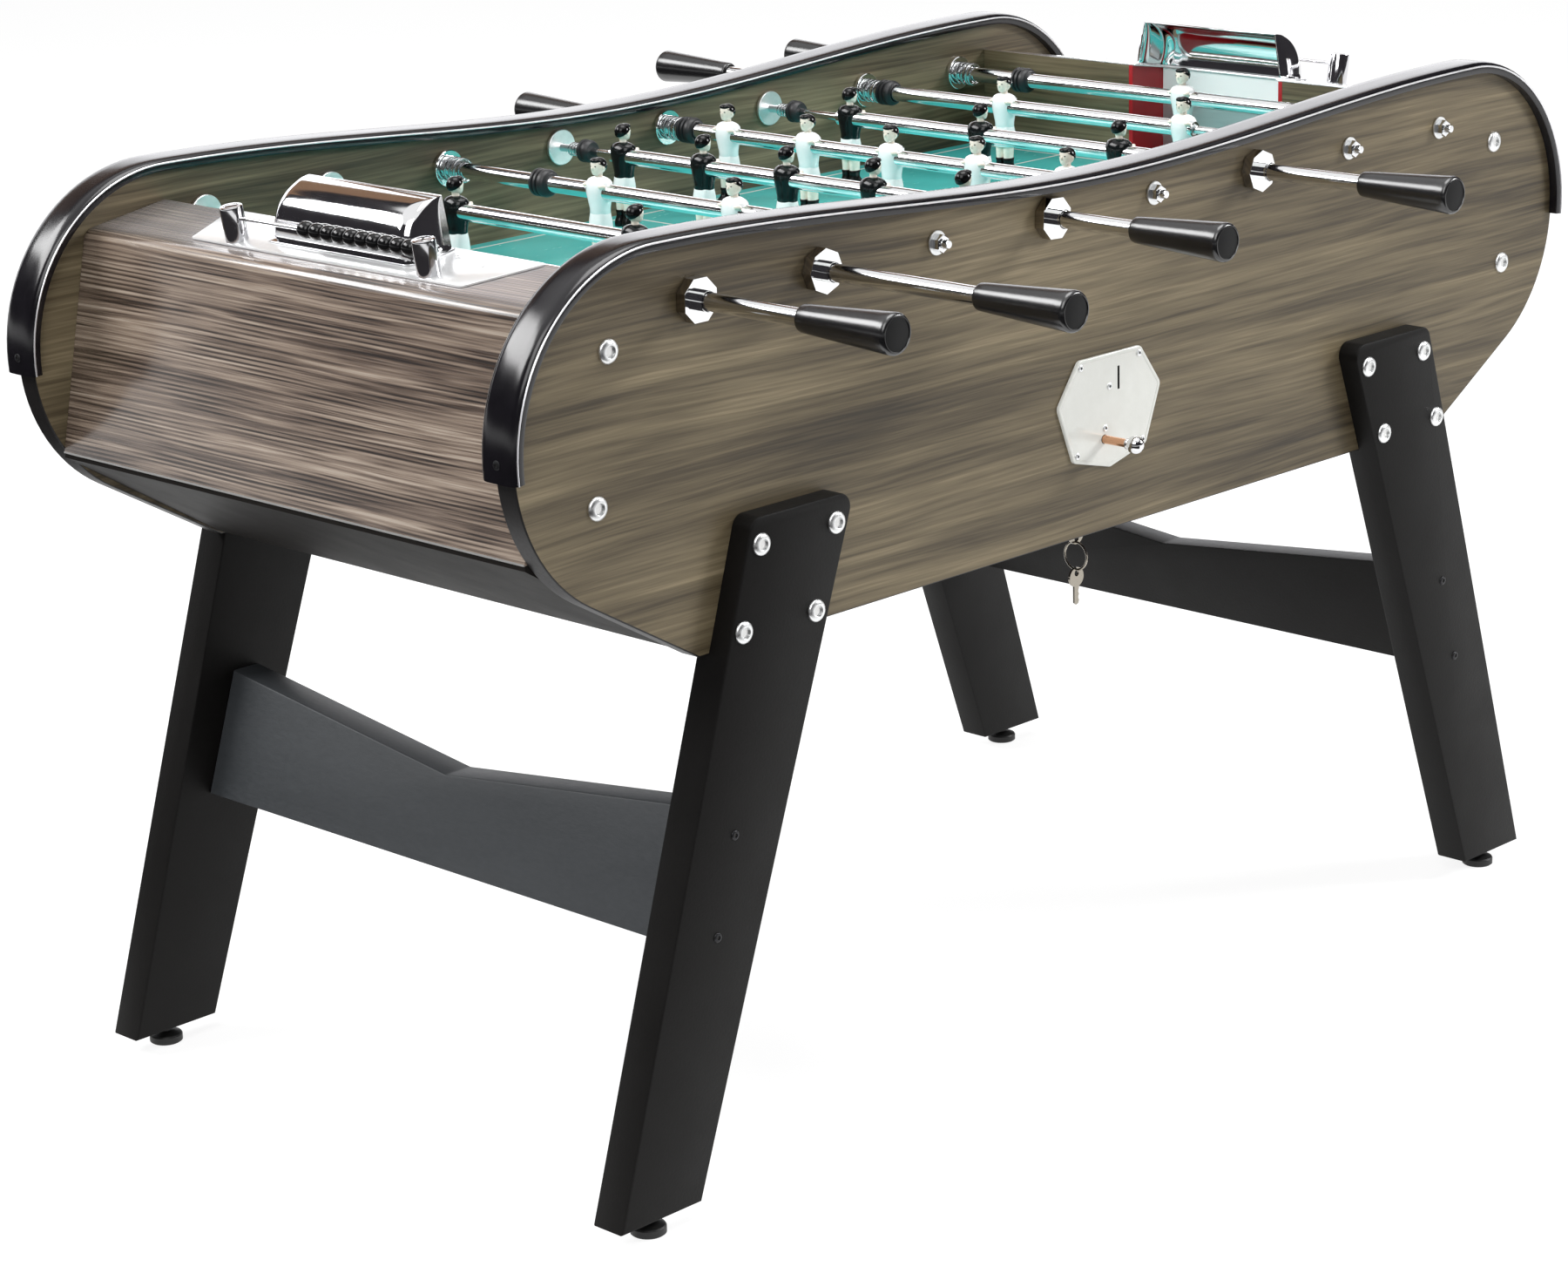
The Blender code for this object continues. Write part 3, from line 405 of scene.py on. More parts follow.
def panel_edge(bare):
    """Panel edge from the right end over the humps to the left end, as points and outward normals."""
    angles = [trim_end + (math.pi / 2 - trim_end) * k / 26 for k in range(26)]
    if bare:
        angles = [-panel_slant + (trim_end + panel_slant) * k / 14 for k in range(14)] + angles
    half = []
    for angle in angles:
        normal = Vector((math.cos(angle), math.sin(angle)))
        half.append((Vector((hump_x, hump_z)) + edge_r * normal, normal))
    for k in range(24):
        x = hump_x * (1 - k / 24)
        bend = math.pi * x / hump_x
        height = hump_z + edge_r - mid_drop * (1 + math.cos(bend)) / 2
        slope = mid_drop * math.pi / (2 * hump_x) * math.sin(bend)
        half.append((Vector((x, height)), Vector((-slope, 1)).normalized()))
    other = [(Vector((-p.x, p.y)), Vector((-n.x, n.y))) for p, n in reversed(half)]
    return half + [(Vector((0, hump_z + edge_r - mid_drop)), Vector((0, 1)))] + other


walnut_along = walnut_laminate("walnut_laminate", "x")
band_black, wire = finish("edge_band_black", paint(24, 22, 22), 0.40)
grit = noise(wire, (300, 300, 300))
wire.feed({"Roughness": 0.36 + grit * 0.16, "Normal": bump(wire, grit, 0.0002, 0.3)})

for side, turn in (("near", -1), ("far", 1)):
    foot = hump_x + edge_r * math.cos(panel_slant)
    foot -= (hump_z - edge_r * math.sin(panel_slant) - panel_bottom) * math.tan(panel_slant)
    outline = [tuple(point) for point, normal in panel_edge(True)]
    outline += [(-foot, panel_bottom), (foot, panel_bottom)]
    low, high = sorted((turn * panel_in, turn * panel_out))
    board = bmesh.new()
    slab(board, outline, low, high, 0.0012, upright_board, 0, 1)
    holes = bmesh.new()
    for place in near_places + far_places:
        radius = bearing_hole_r if (place in near_places) == (side == "near") else stud_hole_r
        drill(holes, radius, low, high, 28, Matrix.Translation((place * rod_apart, 0, rod_z)))
    if side == "near":
        punch(holes, [(0.0165, 0.624), (0.0245, 0.624), (0.0245, 0.654), (0.0165, 0.654)], low, high)
        drill(holes, pin_hole_r, low, high, 20, Matrix.Translation((0, 0, plunger_z)))
    else:
        punch(holes, [(-0.060, 0.516), (0.060, 0.516), (0.060, 0.576), (-0.060, 0.576)], low, high)
    board = carve(board, holes)
    looks = [walnut_along, band_black]
    piece(f"panel_{side}", board, looks, "walnut", "cabinet", f"side_panel_{side}", sharp=20)


# Panel bolts: four round-headed machine bolts at the ends of each side panel, which draw the end boards to it.
# Bright zinc-plated steel with a rounded head and a hexagon drive.
def zinc_plate(name, colour):
    """Zinc plating with a cloudy sheen and fine scratches."""
    material, wire = finish(name, colour, 0.26, Metallic=1.0)
    cloud = noise(wire, (140, 140, 140), 4, 0.6)
    fine = noise(wire, (900, 900, 900), 2)
    dark, light = (tuple(min(1, share * v) for v in colour) for share in (0.86, 1.08))
    wire.feed({"Base Color": cloud.mixed(dark, light)})
    wire.feed({"Roughness": 0.24 + cloud * 0.16 + fine * 0.06})
    return material


bright_zinc = zinc_plate("bright_zinc", (0.90, 0.91, 0.91))
# The floors of the drive recesses are painted darker than the heads as painted shade: a mid-grey zinc in the bolts,
# and dark grey in the small screws and in the slots of the posts.
drive_pale_shade = zinc_plate("drive_pale_shade", (0.76, 0.76, 0.75))
drive_shade, wire = finish("drive_recess", paint(40, 40, 40), 0.6, Metallic=0.6)
grit = noise(wire, (600, 600, 600))
wire.feed({"Base Color": grit.mixed(paint(26, 26, 26), paint(62, 60, 58)), "Roughness": 0.5 + grit * 0.2})


def bolt_head(bm, place, radius, height, drive, look=0):
    """Rounded head with a six-sided recess, standing on the plane y = 0 of its place and pointing to -Y."""
    dome = [(radius, 0.0002), (radius, -0.25 * height), (0.93 * radius, -0.62 * height)]
    dome += [(0.76 * radius, -0.88 * height), (0.55 * radius, -height), (1.16 * drive, -height)]
    dome += [(1.10 * drive, -0.96 * height), (1.08 * drive, -0.35 * height), (0, -0.35 * height)]
    lathe(bm, [(0, 0.0002)] + dome, 32, place, look)
    recess_floor = [(0, -0.36 * height), (drive, -0.36 * height)]
    recess_floor += [(drive, -0.42 * height), (0, -0.42 * height)]
    lathe(bm, recess_floor, 6, place, look + 1)


def outside(x, turn, out, z):
    """Frame on the near (-1) or far (1) side, this far out, with its -Y pointing away from the table."""
    face = Matrix.Translation((x, turn * out, z))
    return face @ Matrix.Rotation(math.pi, 4, "Z") if turn > 0 else face


bolts = bmesh.new()
for turn in (-1, 1):
    for x, z in ((0.6215, 0.7755), (0.6400, 0.6480), (-0.6215, 0.7755), (-0.6400, 0.6480)):
        bolt_head(bolts, outside(x, turn, panel_out, z), 0.0105, 0.0036, 0.0048)
piece("panel_bolts", bolts, [bright_zinc, drive_pale_shade], "zinc", "cabinet")


# Edge trims: satin black moulding pressed over each panel's edge, with a broad flat crown, a bright metal strip
# along each shoulder as a painted highlight, and lips that grip the board. One screw holds each squared-off end.
trim_black, wire = finish("trim_black", paint(14, 13, 16), 0.16)
cloud = noise(wire, (24, 60, 60), 4, 0.55)
fine = noise(wire, (260, 500, 500), 2)
wire.feed({"Base Color": cloud.mixed(paint(10, 9, 12), paint(20, 18, 23))})
wire.feed({"Roughness": 0.13 + cloud * 0.08 + fine * 0.03, "Normal": bump(wire, fine, 0.00002, 0.2)})
# The bright shoulder strip is a painted highlight along the trim.
highlight_strip, wire = finish("trim_painted_highlight", (0.94, 0.94, 0.96), 0.3, Metallic=0.8)
cloud = noise(wire, (60, 60, 60), 3)
wire.feed({"Roughness": 0.26 + cloud * 0.16})

screw_black, wire = finish("screw_black", paint(34, 34, 36), 0.30, Metallic=0.7)
grit = noise(wire, (400, 400, 400))
wire.feed({"Base Color": grit.mixed(paint(22, 22, 24), paint(64, 64, 66)), "Roughness": 0.22 + grit * 0.2})

# Half the trim's section as (out from the edge, across the panel, look); look 1 is the bright shoulder strip, a
# painted highlight.
trim_half = [
    (0.0003, 0.0113, 0), (-0.0035, 0.0113, 0), (-0.0035, 0.0188, 0), (-0.0031, 0.0199, 0), (-0.0020, 0.0204, 0),
    (0.0012, 0.0207, 0), (0.0021, 0.0206, 0), (0.0024, 0.0198, 0), (0.0028, 0.0198, 1), (0.0030, 0.0209, 1),
    (0.0036, 0.0215, 1), (0.0043, 0.0214, 1), (0.0048, 0.0207, 1), (0.0049, 0.0199, 0), (0.0056, 0.0193, 0),
    (0.0066, 0.0180, 0), (0.0074, 0.0158, 0), (0.0079, 0.0128, 0), (0.0081, 0.0070, 0),
]
for side, turn in (("near", -1), ("far", 1)):
    middle = turn * (panel_out + panel_in) / 2
    profile = [(n, w) for n, w, look in trim_half] + [(n, -w) for n, w, look in reversed(trim_half)]
    looks = [look for n, w, look in trim_half] + [look for n, w, look in reversed(trim_half)]
    rows = []
    for point, normal in panel_edge(False):
        spots = [(point + normal * n, middle + w) for n, w in profile]
        rows.append([Vector((at.x, y, at.y)) for at, y in spots])
    trim = bmesh.new()
    skin(trim, rows)
    trim.verts.index_update()
    count = len(profile)
    for face in trim.faces:
        if len(face.verts) == 4:
            strip = sorted({vert.index % count for vert in face.verts})
            if len(strip) == 2 and strip[1] - strip[0] == 1 and looks[strip[0]] and looks[strip[1]]:
                face.material_index = 1
    for end in (-1, 1):
        a = math.radians(0.6)
        reach = edge_r + 0.0079
        face = Matrix.Translation((end * (hump_x + reach * math.cos(a)), middle, hump_z + reach * math.sin(a)))
        face = face @ Matrix.Rotation(-end * a, 4, "Y") @ Matrix.Rotation(end * math.pi / 2, 4, "Z")
        bolt_head(trim, face, 0.0040, 0.0012, 0.0014, 2)
    looks = [trim_black, highlight_strip, screw_black, drive_shade]
    piece(f"trim_{side}", trim, looks, "trim_black", "cabinet", f"edge_trim_{side}", sharp=28)


# End walls of the pitch: boards faced in the same walnut, grain across the table, with the goal mouth sawn out.
# They stand on the pitch's ends under the top boards.
walnut_across = walnut_laminate("walnut_laminate_across", "y")
for name in ("left", "right"):
    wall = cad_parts[f"end_wall_{name}"]
    wall.material_slots[0].material = walnut_across


# End cabinets: one post-formed board at each end, its top falling outwards and bent over a round nose into the
# leaning front. Brown laminate with a fine ribbed grain across the table, cut out for the goal. The top face is
# mixed a third of the way to pale grey: a painted sheen.
def fillet(before, corner, after, radius, steps):
    """Points of an arc that rounds a corner of an outline."""
    corner = Vector(corner)
    first, second = ((Vector(p) - corner).normalized() for p in (before, after))
    half = first.angle(second) / 2
    middle = corner + (first + second).normalized() * radius / math.sin(half)
    start, end = (corner + way * radius / math.tan(half) - middle for way in (first, second))
    sweep = start.angle(end)
    points = []
    for k in range(steps + 1):
        a = sweep * k / steps
        points.append(tuple(middle + (start * math.sin(sweep - a) + end * math.sin(a)) / math.sin(sweep)))
    return points


brown = paint(116, 101, 90)
brown_ribbed, wire = finish("brown_ribbed_laminate", brown, 0.34, Coat_Weight=1.0, Coat_Roughness=0.16)
here = spot(wire)
x, y, z = (wire.node("SeparateXYZ", None, {0: here}, axis) for axis in ("X", "Y", "Z"))
bend = noise(wire, (9, 1.2, 9), 2, 0.45)
down_face = abs(x) - z + bend * 0.05


def figure(along, across, detail, rough):
    at = wire.node("CombineXYZ", None, {"X": down_face * across, "Y": y * along, "Z": 0.0})
    return wire.node("TexNoise", None, {"Vector": at, "Scale": 1.0, "Detail": detail, "Roughness": rough})


broad = figure(1.1, 26, 2, 0.5)
fine = figure(5, 290, 2, 0.6)
streak = figure(1.6, 120, 5, 0.66)
fade = figure(7, 34, 2, 0.5)
rib = wire.math("SINE", (abs(x) - z + bend * 0.014) * (2 * math.pi / 0.0048)) * 0.5 + 0.5
groove = rib**2.0 * fade.above(0.50, 0.20)
tone = broad * 0.27 + streak * 0.27 + fine * 0.46 - groove * 0.15 + 0.034
colour = ramp(
    wire,
    tone,
    (0.38, paint(40, 32, 28)),
    (0.45, paint(76, 63, 55)),
    (0.51, paint(110, 95, 84)),
    (0.57, paint(140, 124, 110)),
    (0.64, paint(172, 158, 144)),
)
# Painted sheen: the top face, inside the nose, is mixed a third of the way to pale grey.
painted_sheen_top = (1 - abs(x).above(0.650, 0.016)) * 0.34
wire.feed({"Base Color": painted_sheen_top.mixed(colour, paint(208, 207, 212))})
wire.feed({"Roughness": 0.26 + rib * 0.12, "Normal": bump(wire, 1 - groove, 0.0004, 0.4)})
strip_bright, wire = finish("end_strip_bright", (0.78, 0.77, 0.75), 0.3, Metallic=1.0)
brush = noise(wire, (700, 12, 700), 3)
wire.feed({"Roughness": 0.22 + brush * 0.2, "Base Color": brush.mixed((0.66, 0.65, 0.63), (0.88, 0.87, 0.85))})

wall_x, top_z, top_fall, board_t, nose_r = 0.570, 0.823, math.radians(9.2), 0.018, 0.013
front_top, front_foot = Vector((0.662, 0.805)), Vector((0.702, 0.609))
mouth, goal_deep, goal_t = 0.098, 0.0515, 0.005
clear = 0.0003
down = (front_foot - front_top).normalized()
outward = Vector((math.cos(top_fall), -math.sin(top_fall)))


def end_bend(by):
    """Where the faces of the top and front boards meet, both moved in by this much."""
    top = Vector((wall_x, top_z)) - by * Vector((math.sin(top_fall), math.cos(top_fall)))
    front = front_top - by * Vector((-down.y, down.x))
    return tuple(top + outward * (front - top).cross(down) / outward.cross(down))


for name, end in (("left", -1), ("right", 1)):
    outline = [(wall_x, top_z - board_t / math.cos(top_fall)), (wall_x, top_z)]
    outline += fillet((wall_x, top_z), end_bend(0), front_foot, nose_r, 18)
    outline += [tuple(front_foot), (front_foot.x + board_t / down.y, front_foot.y), end_bend(board_t)]
    board = bmesh.new()
    wide = panel_in - clear
    slab(board, [(end * x, z) for x, z in outline], -wide, wide, 0.0002, upright_board)
    notch = bmesh.new()
    x0, x1 = sorted((end * (wall_x - 0.02), end * (wall_x + goal_deep + goal_t + clear)))
    half = mouth + goal_t + clear
    plan = [(x0, -half), (x1, -half), (x1, half), (x0, half)]
    skin(notch, [[Vector((x, y, z)) for x, y in plan] for z in (top_z - 0.05, top_z + 0.01)])
    board = carve(board, notch)
    for face in board.faces:
        if abs(face.calc_center_median().x * end - wall_x) < 0.0003:
            face.material_index = 2
    folds = ((-0.0012, 0.0002), (-0.0012, 0.0006), (0.0006, 0.0006))
    folds += ((0.0006, -0.0010), (0.0000, -0.0010), (0.0000, 0.0002))
    strip = [front_foot + down * s + Vector((-down.y, down.x)) * d for s, d in folds]
    skin(board, [[Vector((end * p.x, y, p.y)) for p in strip] for y in (-wide, wide)], 1)
    looks = [brown_ribbed, strip_bright, walnut_across]
    piece(f"end_board_{name}", board, looks, "brown_laminate", "cabinet", f"end_cabinet_{name}", sharp=24)


# Goal linings: bent boards round the mouths, open below to the ball run. The cheeks are lacquered red, and the back
# is polished steel sheet with a band along its top coloured plain white.
goal_lacquer, wire = finish("goal_red_and_steel", paint(150, 15, 25), 0.3)
apart, height = (wire.node("SeparateXYZ", None, {0: spot(wire)}, axis) for axis in ("Y", "Z"))
back_plate = 1 - abs(apart).above(mouth - 0.0006, 0.0004)
# Above this height the back is coloured plain white, not metallic; below it is steel.
top_band = back_plate * height.above(0.7818, 0.0012)
cloud = noise(wire, (40, 40, 40), 4, 0.6)
brush = noise(wire, (6, 30, 500), 2)
red = cloud.mixed(paint(150, 10, 20), paint(188, 22, 34))
steel = top_band.mixed(brush.mixed((0.56, 0.60, 0.62), (0.68, 0.72, 0.73)), (1, 1, 1))
wire.feed({"Base Color": back_plate.mixed(red, steel), "Metallic": (back_plate - top_band) * 0.7})
wire.feed({"Roughness": 0.24 + cloud * 0.14})
for name in ("left", "right"):
    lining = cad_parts[f"goal_box_{name}"]
    lining.material_slots[0].material = goal_lacquer


# Goal plates: bright steel sheet screwed to the top board round each goal. Two chromed posts with slotted screws in
# their tops carry the wire of the score counter.
def polished(name, colour, least, most, cells=90):
    """Bright polished metal with soft clouds of handling and hairlines."""
    material, wire = finish(name, colour, least, Metallic=1.0)
    cloud = noise(wire, (cells, cells, cells), 4, 0.6)
    hair = noise(wire, (12 * cells, 0.6 * cells, 12 * cells), 2)
    dark, light = (tuple(min(1, share * v) for v in colour) for share in (0.95, 1.04))
    wire.feed({"Base Color": cloud.mixed(dark, light)})
    wire.feed({"Roughness": least + (cloud * 0.65 + hair * 0.35) * (most - least)})
    return material


plate_steel, wire = finish("goal_plate_steel", (0.96, 0.97, 0.98), 0.3, Metallic=0.5)
cloud = noise(wire, (40, 40, 40), 4, 0.6)
hair = noise(wire, (900, 60, 900), 2)
wire.feed({"Base Color": cloud.mixed((0.92, 0.94, 0.95), (1, 1, 1))})
wire.feed({"Roughness": 0.18 + cloud * 0.06 + hair * 0.04})
post_chrome = polished("post_chrome", (0.80, 0.80, 0.82), 0.04, 0.14)
plate_low, plate_high, plate_end = clear, 0.0023, 0.0722
hood_w, hood_taper, hood_front, hood_lean = 0.0965, 0.0085, 0.0065, 0.0060
hood_depth, hood_h, hood_t = 0.0445, 0.0456, 0.002
post_out, post_y, post_r, post_h = 0.0612, 0.128, 0.0105, 0.0315
wire_h, wire_r = 0.0210, 0.0018


def top_frame(end):
    """Frame of a sloping top board: +X outwards from its inner edge, +Z out of its face."""
    place = Matrix.Translation((wall_x, 0, top_z)) @ Matrix.Rotation(top_fall, 4, "Y")
    return place if end > 0 else Matrix.Rotation(math.pi, 4, "Z") @ place


def standing(x, y, z=0.0):
    """Stands a turned shape upright, its y measured up from z."""
    return Matrix.Translation((x, y, z)) @ Matrix.Rotation(math.pi / 2, 4, "X")


for name, end in (("left", -1), ("right", 1)):
    here = top_frame(end)
    notch, hood_back = hood_w - hood_t, hood_front + hood_depth - hood_t
    half = [(hood_back, notch), (0.0005, notch)]
    half += fillet((0.0005, notch), (0.0005, 0.210), (plate_end, 0.180), 0.003, 5)
    half += fillet((0.0005, 0.210), (plate_end, 0.180), (plate_end, 0), 0.004, 6)
    outline = half + [(x, -y) for x, y in reversed(half)]
    plate = bmesh.new()
    slab(plate, outline, plate_low, plate_high, 0.0006, lambda u, v, depth: here @ Vector((u, v, depth)))
    for turn in (-1, 1):
        post = [(0, -0.0002), (post_r, -0.0002), (post_r, post_h - 0.0014)]
        post += [(post_r - 0.0004, post_h - 0.0004), (post_r - 0.0014, post_h), (0.0070, post_h)]
        post += [(0.0068, post_h - 0.0012), (0.0064, post_h - 0.0012), (0.0062, post_h - 0.0003)]
        post += [(0.0056, post_h), (0, post_h)]
        lathe(plate, post, 40, here @ standing(post_out, turn * post_y, plate_high), 1)
        slot_plan = [(-0.0054, -0.0008), (0.0054, -0.0008), (0.0054, 0.0008), (-0.0054, 0.0008)]
        top = here @ Matrix.Translation((post_out, turn * post_y, plate_high + post_h))
        top = top @ Matrix.Rotation(0.7 * turn, 4, "Z")
        skin(plate, [[top @ Vector((x, y, z)) for x, y in slot_plan] for z in (-0.0004, 0.0002)], 3)
        for x, y in ((0.0300, 0.1620), (0.0175, 0.1165)):
            screw = Matrix.Translation((x, turn * y, plate_high)) @ Matrix.Rotation(-math.pi / 2, 4, "X")
            bolt_head(plate, here @ screw, 0.0026, 0.0009, 0.0010, 2)
    strand = here @ Matrix.Translation((post_out, 0, plate_high + wire_h))
    lathe(plate, [(0, -post_y), (wire_r, -post_y), (wire_r, post_y), (0, post_y)], 16, strand, 1)
    looks = [plate_steel, post_chrome, bright_zinc, drive_shade]
    piece(f"plate_{name}", plate, looks, "polished_steel", "cabinet", f"goal_plate_{name}")


# Goal hoods: one sheet of chromed steel bent over each goal like a quarter of a drum, with pressed cheeks, open to
# the pitch and standing on a narrow flange on the goal plate.
hood_chrome = polished("hood_chrome", (0.82, 0.82, 0.83), 0.03, 0.12, 60)
for name, end in (("left", -1), ("right", 1)):
    base = plate_high + clear
    levels = [(0, 0.004, 0), (0, 0.004, 0.0016), (0, 0.0012, 0.0020)]
    levels += [(math.sin(math.radians(90 * k / 22)), 0, 0.0024 if k == 0 else 0) for k in range(23)]
    rows = []
    for share, spread, lift in levels:
        w = hood_w - hood_taper * share + spread
        front = hood_front - hood_lean * share
        deep = hood_depth * math.sqrt(max(1 - share**2.2, 0)) + (0.006 + hood_lean) * share
        back = front + deep + spread
        r = min(0.014, (back - front) * 0.6)
        plan = [(front, -w), ((front + back - r) / 2, -w)]
        corner = [math.pi * k / 16 for k in range(9)]
        plan += [(back - r + r * math.sin(a), r - w - r * math.cos(a)) for a in corner]
        plan += [(back, -w / 2 + r / 2), (back, 0)]
        plan += [(x, -y) for x, y in reversed(plan[:-1])]
        rows.append([top_frame(end) @ Vector((x, y, base + share * hood_h + lift)) for x, y in plan])
    hood = bmesh.new()
    made = [[hood.verts.new(point) for point in row] for row in rows]
    for low, high in zip(made, made[1:]):
        for k in range(len(low) - 1):
            hood.faces.new((low[k], low[k + 1], high[k + 1], high[k]))
    hood.faces.new(made[-1])
    shell = piece(f"hood_{name}", hood, [hood_chrome], "chrome", "cabinet", f"goal_hood_{name}", sharp=40)
    sheet = shell.modifiers.new("sheet", "SOLIDIFY")
    sheet.thickness = hood_t
    sheet.offset = -1


# Score counters: ten glossy black beads on each wire, a little flattened where they meet, resting together against
# one post until they are pushed along.
bead_black, wire = finish("bead_black", paint(14, 14, 15), 0.12, IOR=1.4)
cloud = noise(wire, (120, 120, 120), 4, 0.6)
wire.feed({"Base Color": cloud.mixed(paint(9, 9, 10), paint(24, 24, 25)), "Roughness": 0.06 + cloud * 0.10})
bead_pitch = 0.0152
for name, end in (("left", -1), ("right", 1)):
    beads = bmesh.new()
    start = Matrix.Translation((post_out, post_y - post_r - clear, plate_high + wire_h))
    start = top_frame(end) @ start @ Matrix.Rotation(math.pi, 4, "Z")
    for k in range(10):
        middle = (k + 0.5) * bead_pitch
        profile = [(0.0024, middle - 0.0070), (0.0032, middle - 0.0074)]
        for step in range(1, 12):
            a = math.pi * step / 12
            profile.append((0.0032 + 0.00455 * math.sin(a) ** 0.85, middle - 0.0074 * math.cos(a)))
        profile += [(0.0032, middle + 0.0074), (0.0024, middle + 0.0070)]
        lathe(beads, profile, 28, start)
    body, node = f"counter_{name}", f"counter_beads_{name}"
    piece(f"beads_{name}", beads, [bead_black], "bead_black", body, node, sharp=60)


# Pitch: a board with a printed teal laminate under a clear wear layer. White lines mark the border, halfway line,
# centre circle and penalty areas.
pitch_teal, wire = finish("pitch_teal", paint(60, 175, 160), 0.24, Coat_Weight=0.3, Coat_Roughness=0.08)
here = spot(wire)
x, y = (wire.node("SeparateXYZ", None, {0: here}, axis) for axis in ("X", "Y"))


def near_line(distance, half_width):
    """1 on a line and 0 beside it."""
    return 1 - abs(distance).above(half_width, 0.0006)


ax, ay = abs(x), abs(y)
half_line = 0.0016
border = near_line(ax - 0.5430, half_line) * (1 - ay.above(0.2960, 0.0006))
border = border.most(near_line(ay - 0.2944, half_line) * (1 - ax.above(0.5446, 0.0006)))
halfway = near_line(x, half_line) * (1 - ay.above(0.2944, 0.0006))
radius = (x * x + y * y) ** 0.5
circle = near_line(radius - 0.1000, half_line).most(1 - radius.above(0.0060, 0.0006))
box_side = near_line(ay - 0.1790, half_line) * ax.above(0.3900, 0.0006) * (1 - ax.above(0.5430, 0.0006))
box_front = near_line(ax - 0.3900, half_line) * (1 - ay.above(0.1806, 0.0006))
spot_away = ((ax - 0.4550) * (ax - 0.4550) + y * y) ** 0.5
arc = near_line(spot_away - 0.0950, half_line) * (1 - ax.above(0.3900, 0.0006))
arc = arc.most(1 - spot_away.above(0.0045, 0.0006))
lines = border.most(halfway).most(circle).most(box_side).most(box_front).most(arc)
cloud = noise(wire, (9, 9, 9), 5, 0.6)
wear = noise(wire, (35, 160, 35), 4, 0.65)
green = cloud.mixed(paint(56, 178, 174), paint(80, 200, 195))
wire.feed({"Base Color": lines.mixed(green, paint(232, 240, 236)), "Roughness": 0.18 + wear * 0.14})
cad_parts["playfield"].material_slots[0].material = pitch_teal


# Floor of the cabinet: a black-faced board with slanted ends that run the balls down from the goals, let in between
# the side panels.
def black_board(name, dark, light, rough):
    """Matt black foil on board with a faint orange-peel grain and rubbed patches."""
    material, wire = finish(name, dark, rough, Specular_IOR_Level=0.18)
    cloud = noise(wire, (18, 18, 18), 4, 0.6)
    peel = noise(wire, (420, 420, 420), 2)
    wire.feed({"Base Color": (cloud * 0.7 + peel * 0.3).mixed(dark, light)})
    wire.feed({"Roughness": rough - 0.08 + cloud * 0.16, "Normal": bump(wire, peel, 0.0003, 0.35)})
    return material


floor_black = black_board("cabinet_floor_black", paint(17, 15, 13), paint(31, 27, 24), 0.58)
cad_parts["bottom_panel"].material_slots[0].material = floor_black


# Legs: splayed posts of thick board in matt black, rebated over the side panel and bolted through it. Each stands
# on a black levelling foot screwed into its end grain.
leg_black_and_shade = black_board("leg_black_and_shade", paint(7, 6, 5), paint(15, 13, 12), 0.5)
foot_black, wire = finish("foot_black", paint(20, 20, 20), 0.5)
grit = noise(wire, (500, 500, 500))
wire.feed({"Base Color": grit.mixed(paint(16, 16, 16), paint(34, 34, 34)), "Roughness": 0.42 + grit * 0.2})
leg_out, leg_in, leg_top_z, leg_foot_z = 0.3555, 0.319, 0.611, 0.018
leg_tops, leg_feet, leg_round = (0.358, 0.4835), (0.5695, 0.665), 0.013
for turn, side in ((-1, "near"), (1, "far")):
    for end, name in ((-1, "left"), (1, "right")):
        tops = [(x, leg_top_z) for x in leg_tops]
        feet = [(x, leg_foot_z) for x in leg_feet]
        outline = [feet[0]] + fillet(feet[0], tops[0], tops[1], leg_round, 10)
        outline += fillet(tops[0], tops[1], feet[1], leg_round, 10) + [feet[1]]
        outline = [(end * x, z) for x, z in outline]
        low, high = sorted((turn * leg_in, turn * leg_out))
        post = bmesh.new()
        slab(post, outline, low, high, 0.0020, upright_board)
        y0, y1 = sorted((turn * (leg_in - 0.02), turn * (panel_out + clear)))
        lap = bmesh.new()
        corners = [(-0.7, y0), (0.7, y0), (0.7, y1), (-0.7, y1)]
        skin(lap, [[Vector((x, y, z)) for x, y in corners] for z in (panel_bottom - clear, leg_top_z + 0.02)])
        post = carve(post, lap)
        at = standing(end * sum(leg_feet) / 2, turn * (leg_in + leg_out) / 2)
        pad = [(0, 0), (0.0145, 0), (0.0160, 0.0012), (0.0160, 0.0070), (0.0150, 0.0085), (0.0090, 0.0108)]
        pad += [(0.0060, 0.0114), (0.0060, leg_foot_z + 0.004), (0, leg_foot_z + 0.004)]
        lathe(post, pad, 36, at, 1)
        looks = [leg_black_and_shade, foot_black]
        piece(f"post_{side}_{name}", post, looks, "black_wood", "cabinet", f"leg_{side}_{name}", sharp=28)

leg_bolts = bmesh.new()
for turn in (-1, 1):
    for end in (-1, 1):
        spots = [(0.4745, 0.5870), (0.3825, 0.5870), (0.4100, 0.5145), (0.4985, 0.5150)]
        for x, z in spots + [(0.5160, 0.3390), (0.5405, 0.2530)]:
            face = outside(end * x, turn, leg_out, z)
            if z > 0.4:
                bolt_head(leg_bolts, face, 0.0100, 0.0034, 0.0046)
            else:
                bolt_head(leg_bolts, face, 0.0045, 0.0014, 0.0018, 2)
looks = [bright_zinc, drive_pale_shade, screw_black, drive_shade]
piece("leg_bolts", leg_bolts, looks, "zinc", "cabinet")
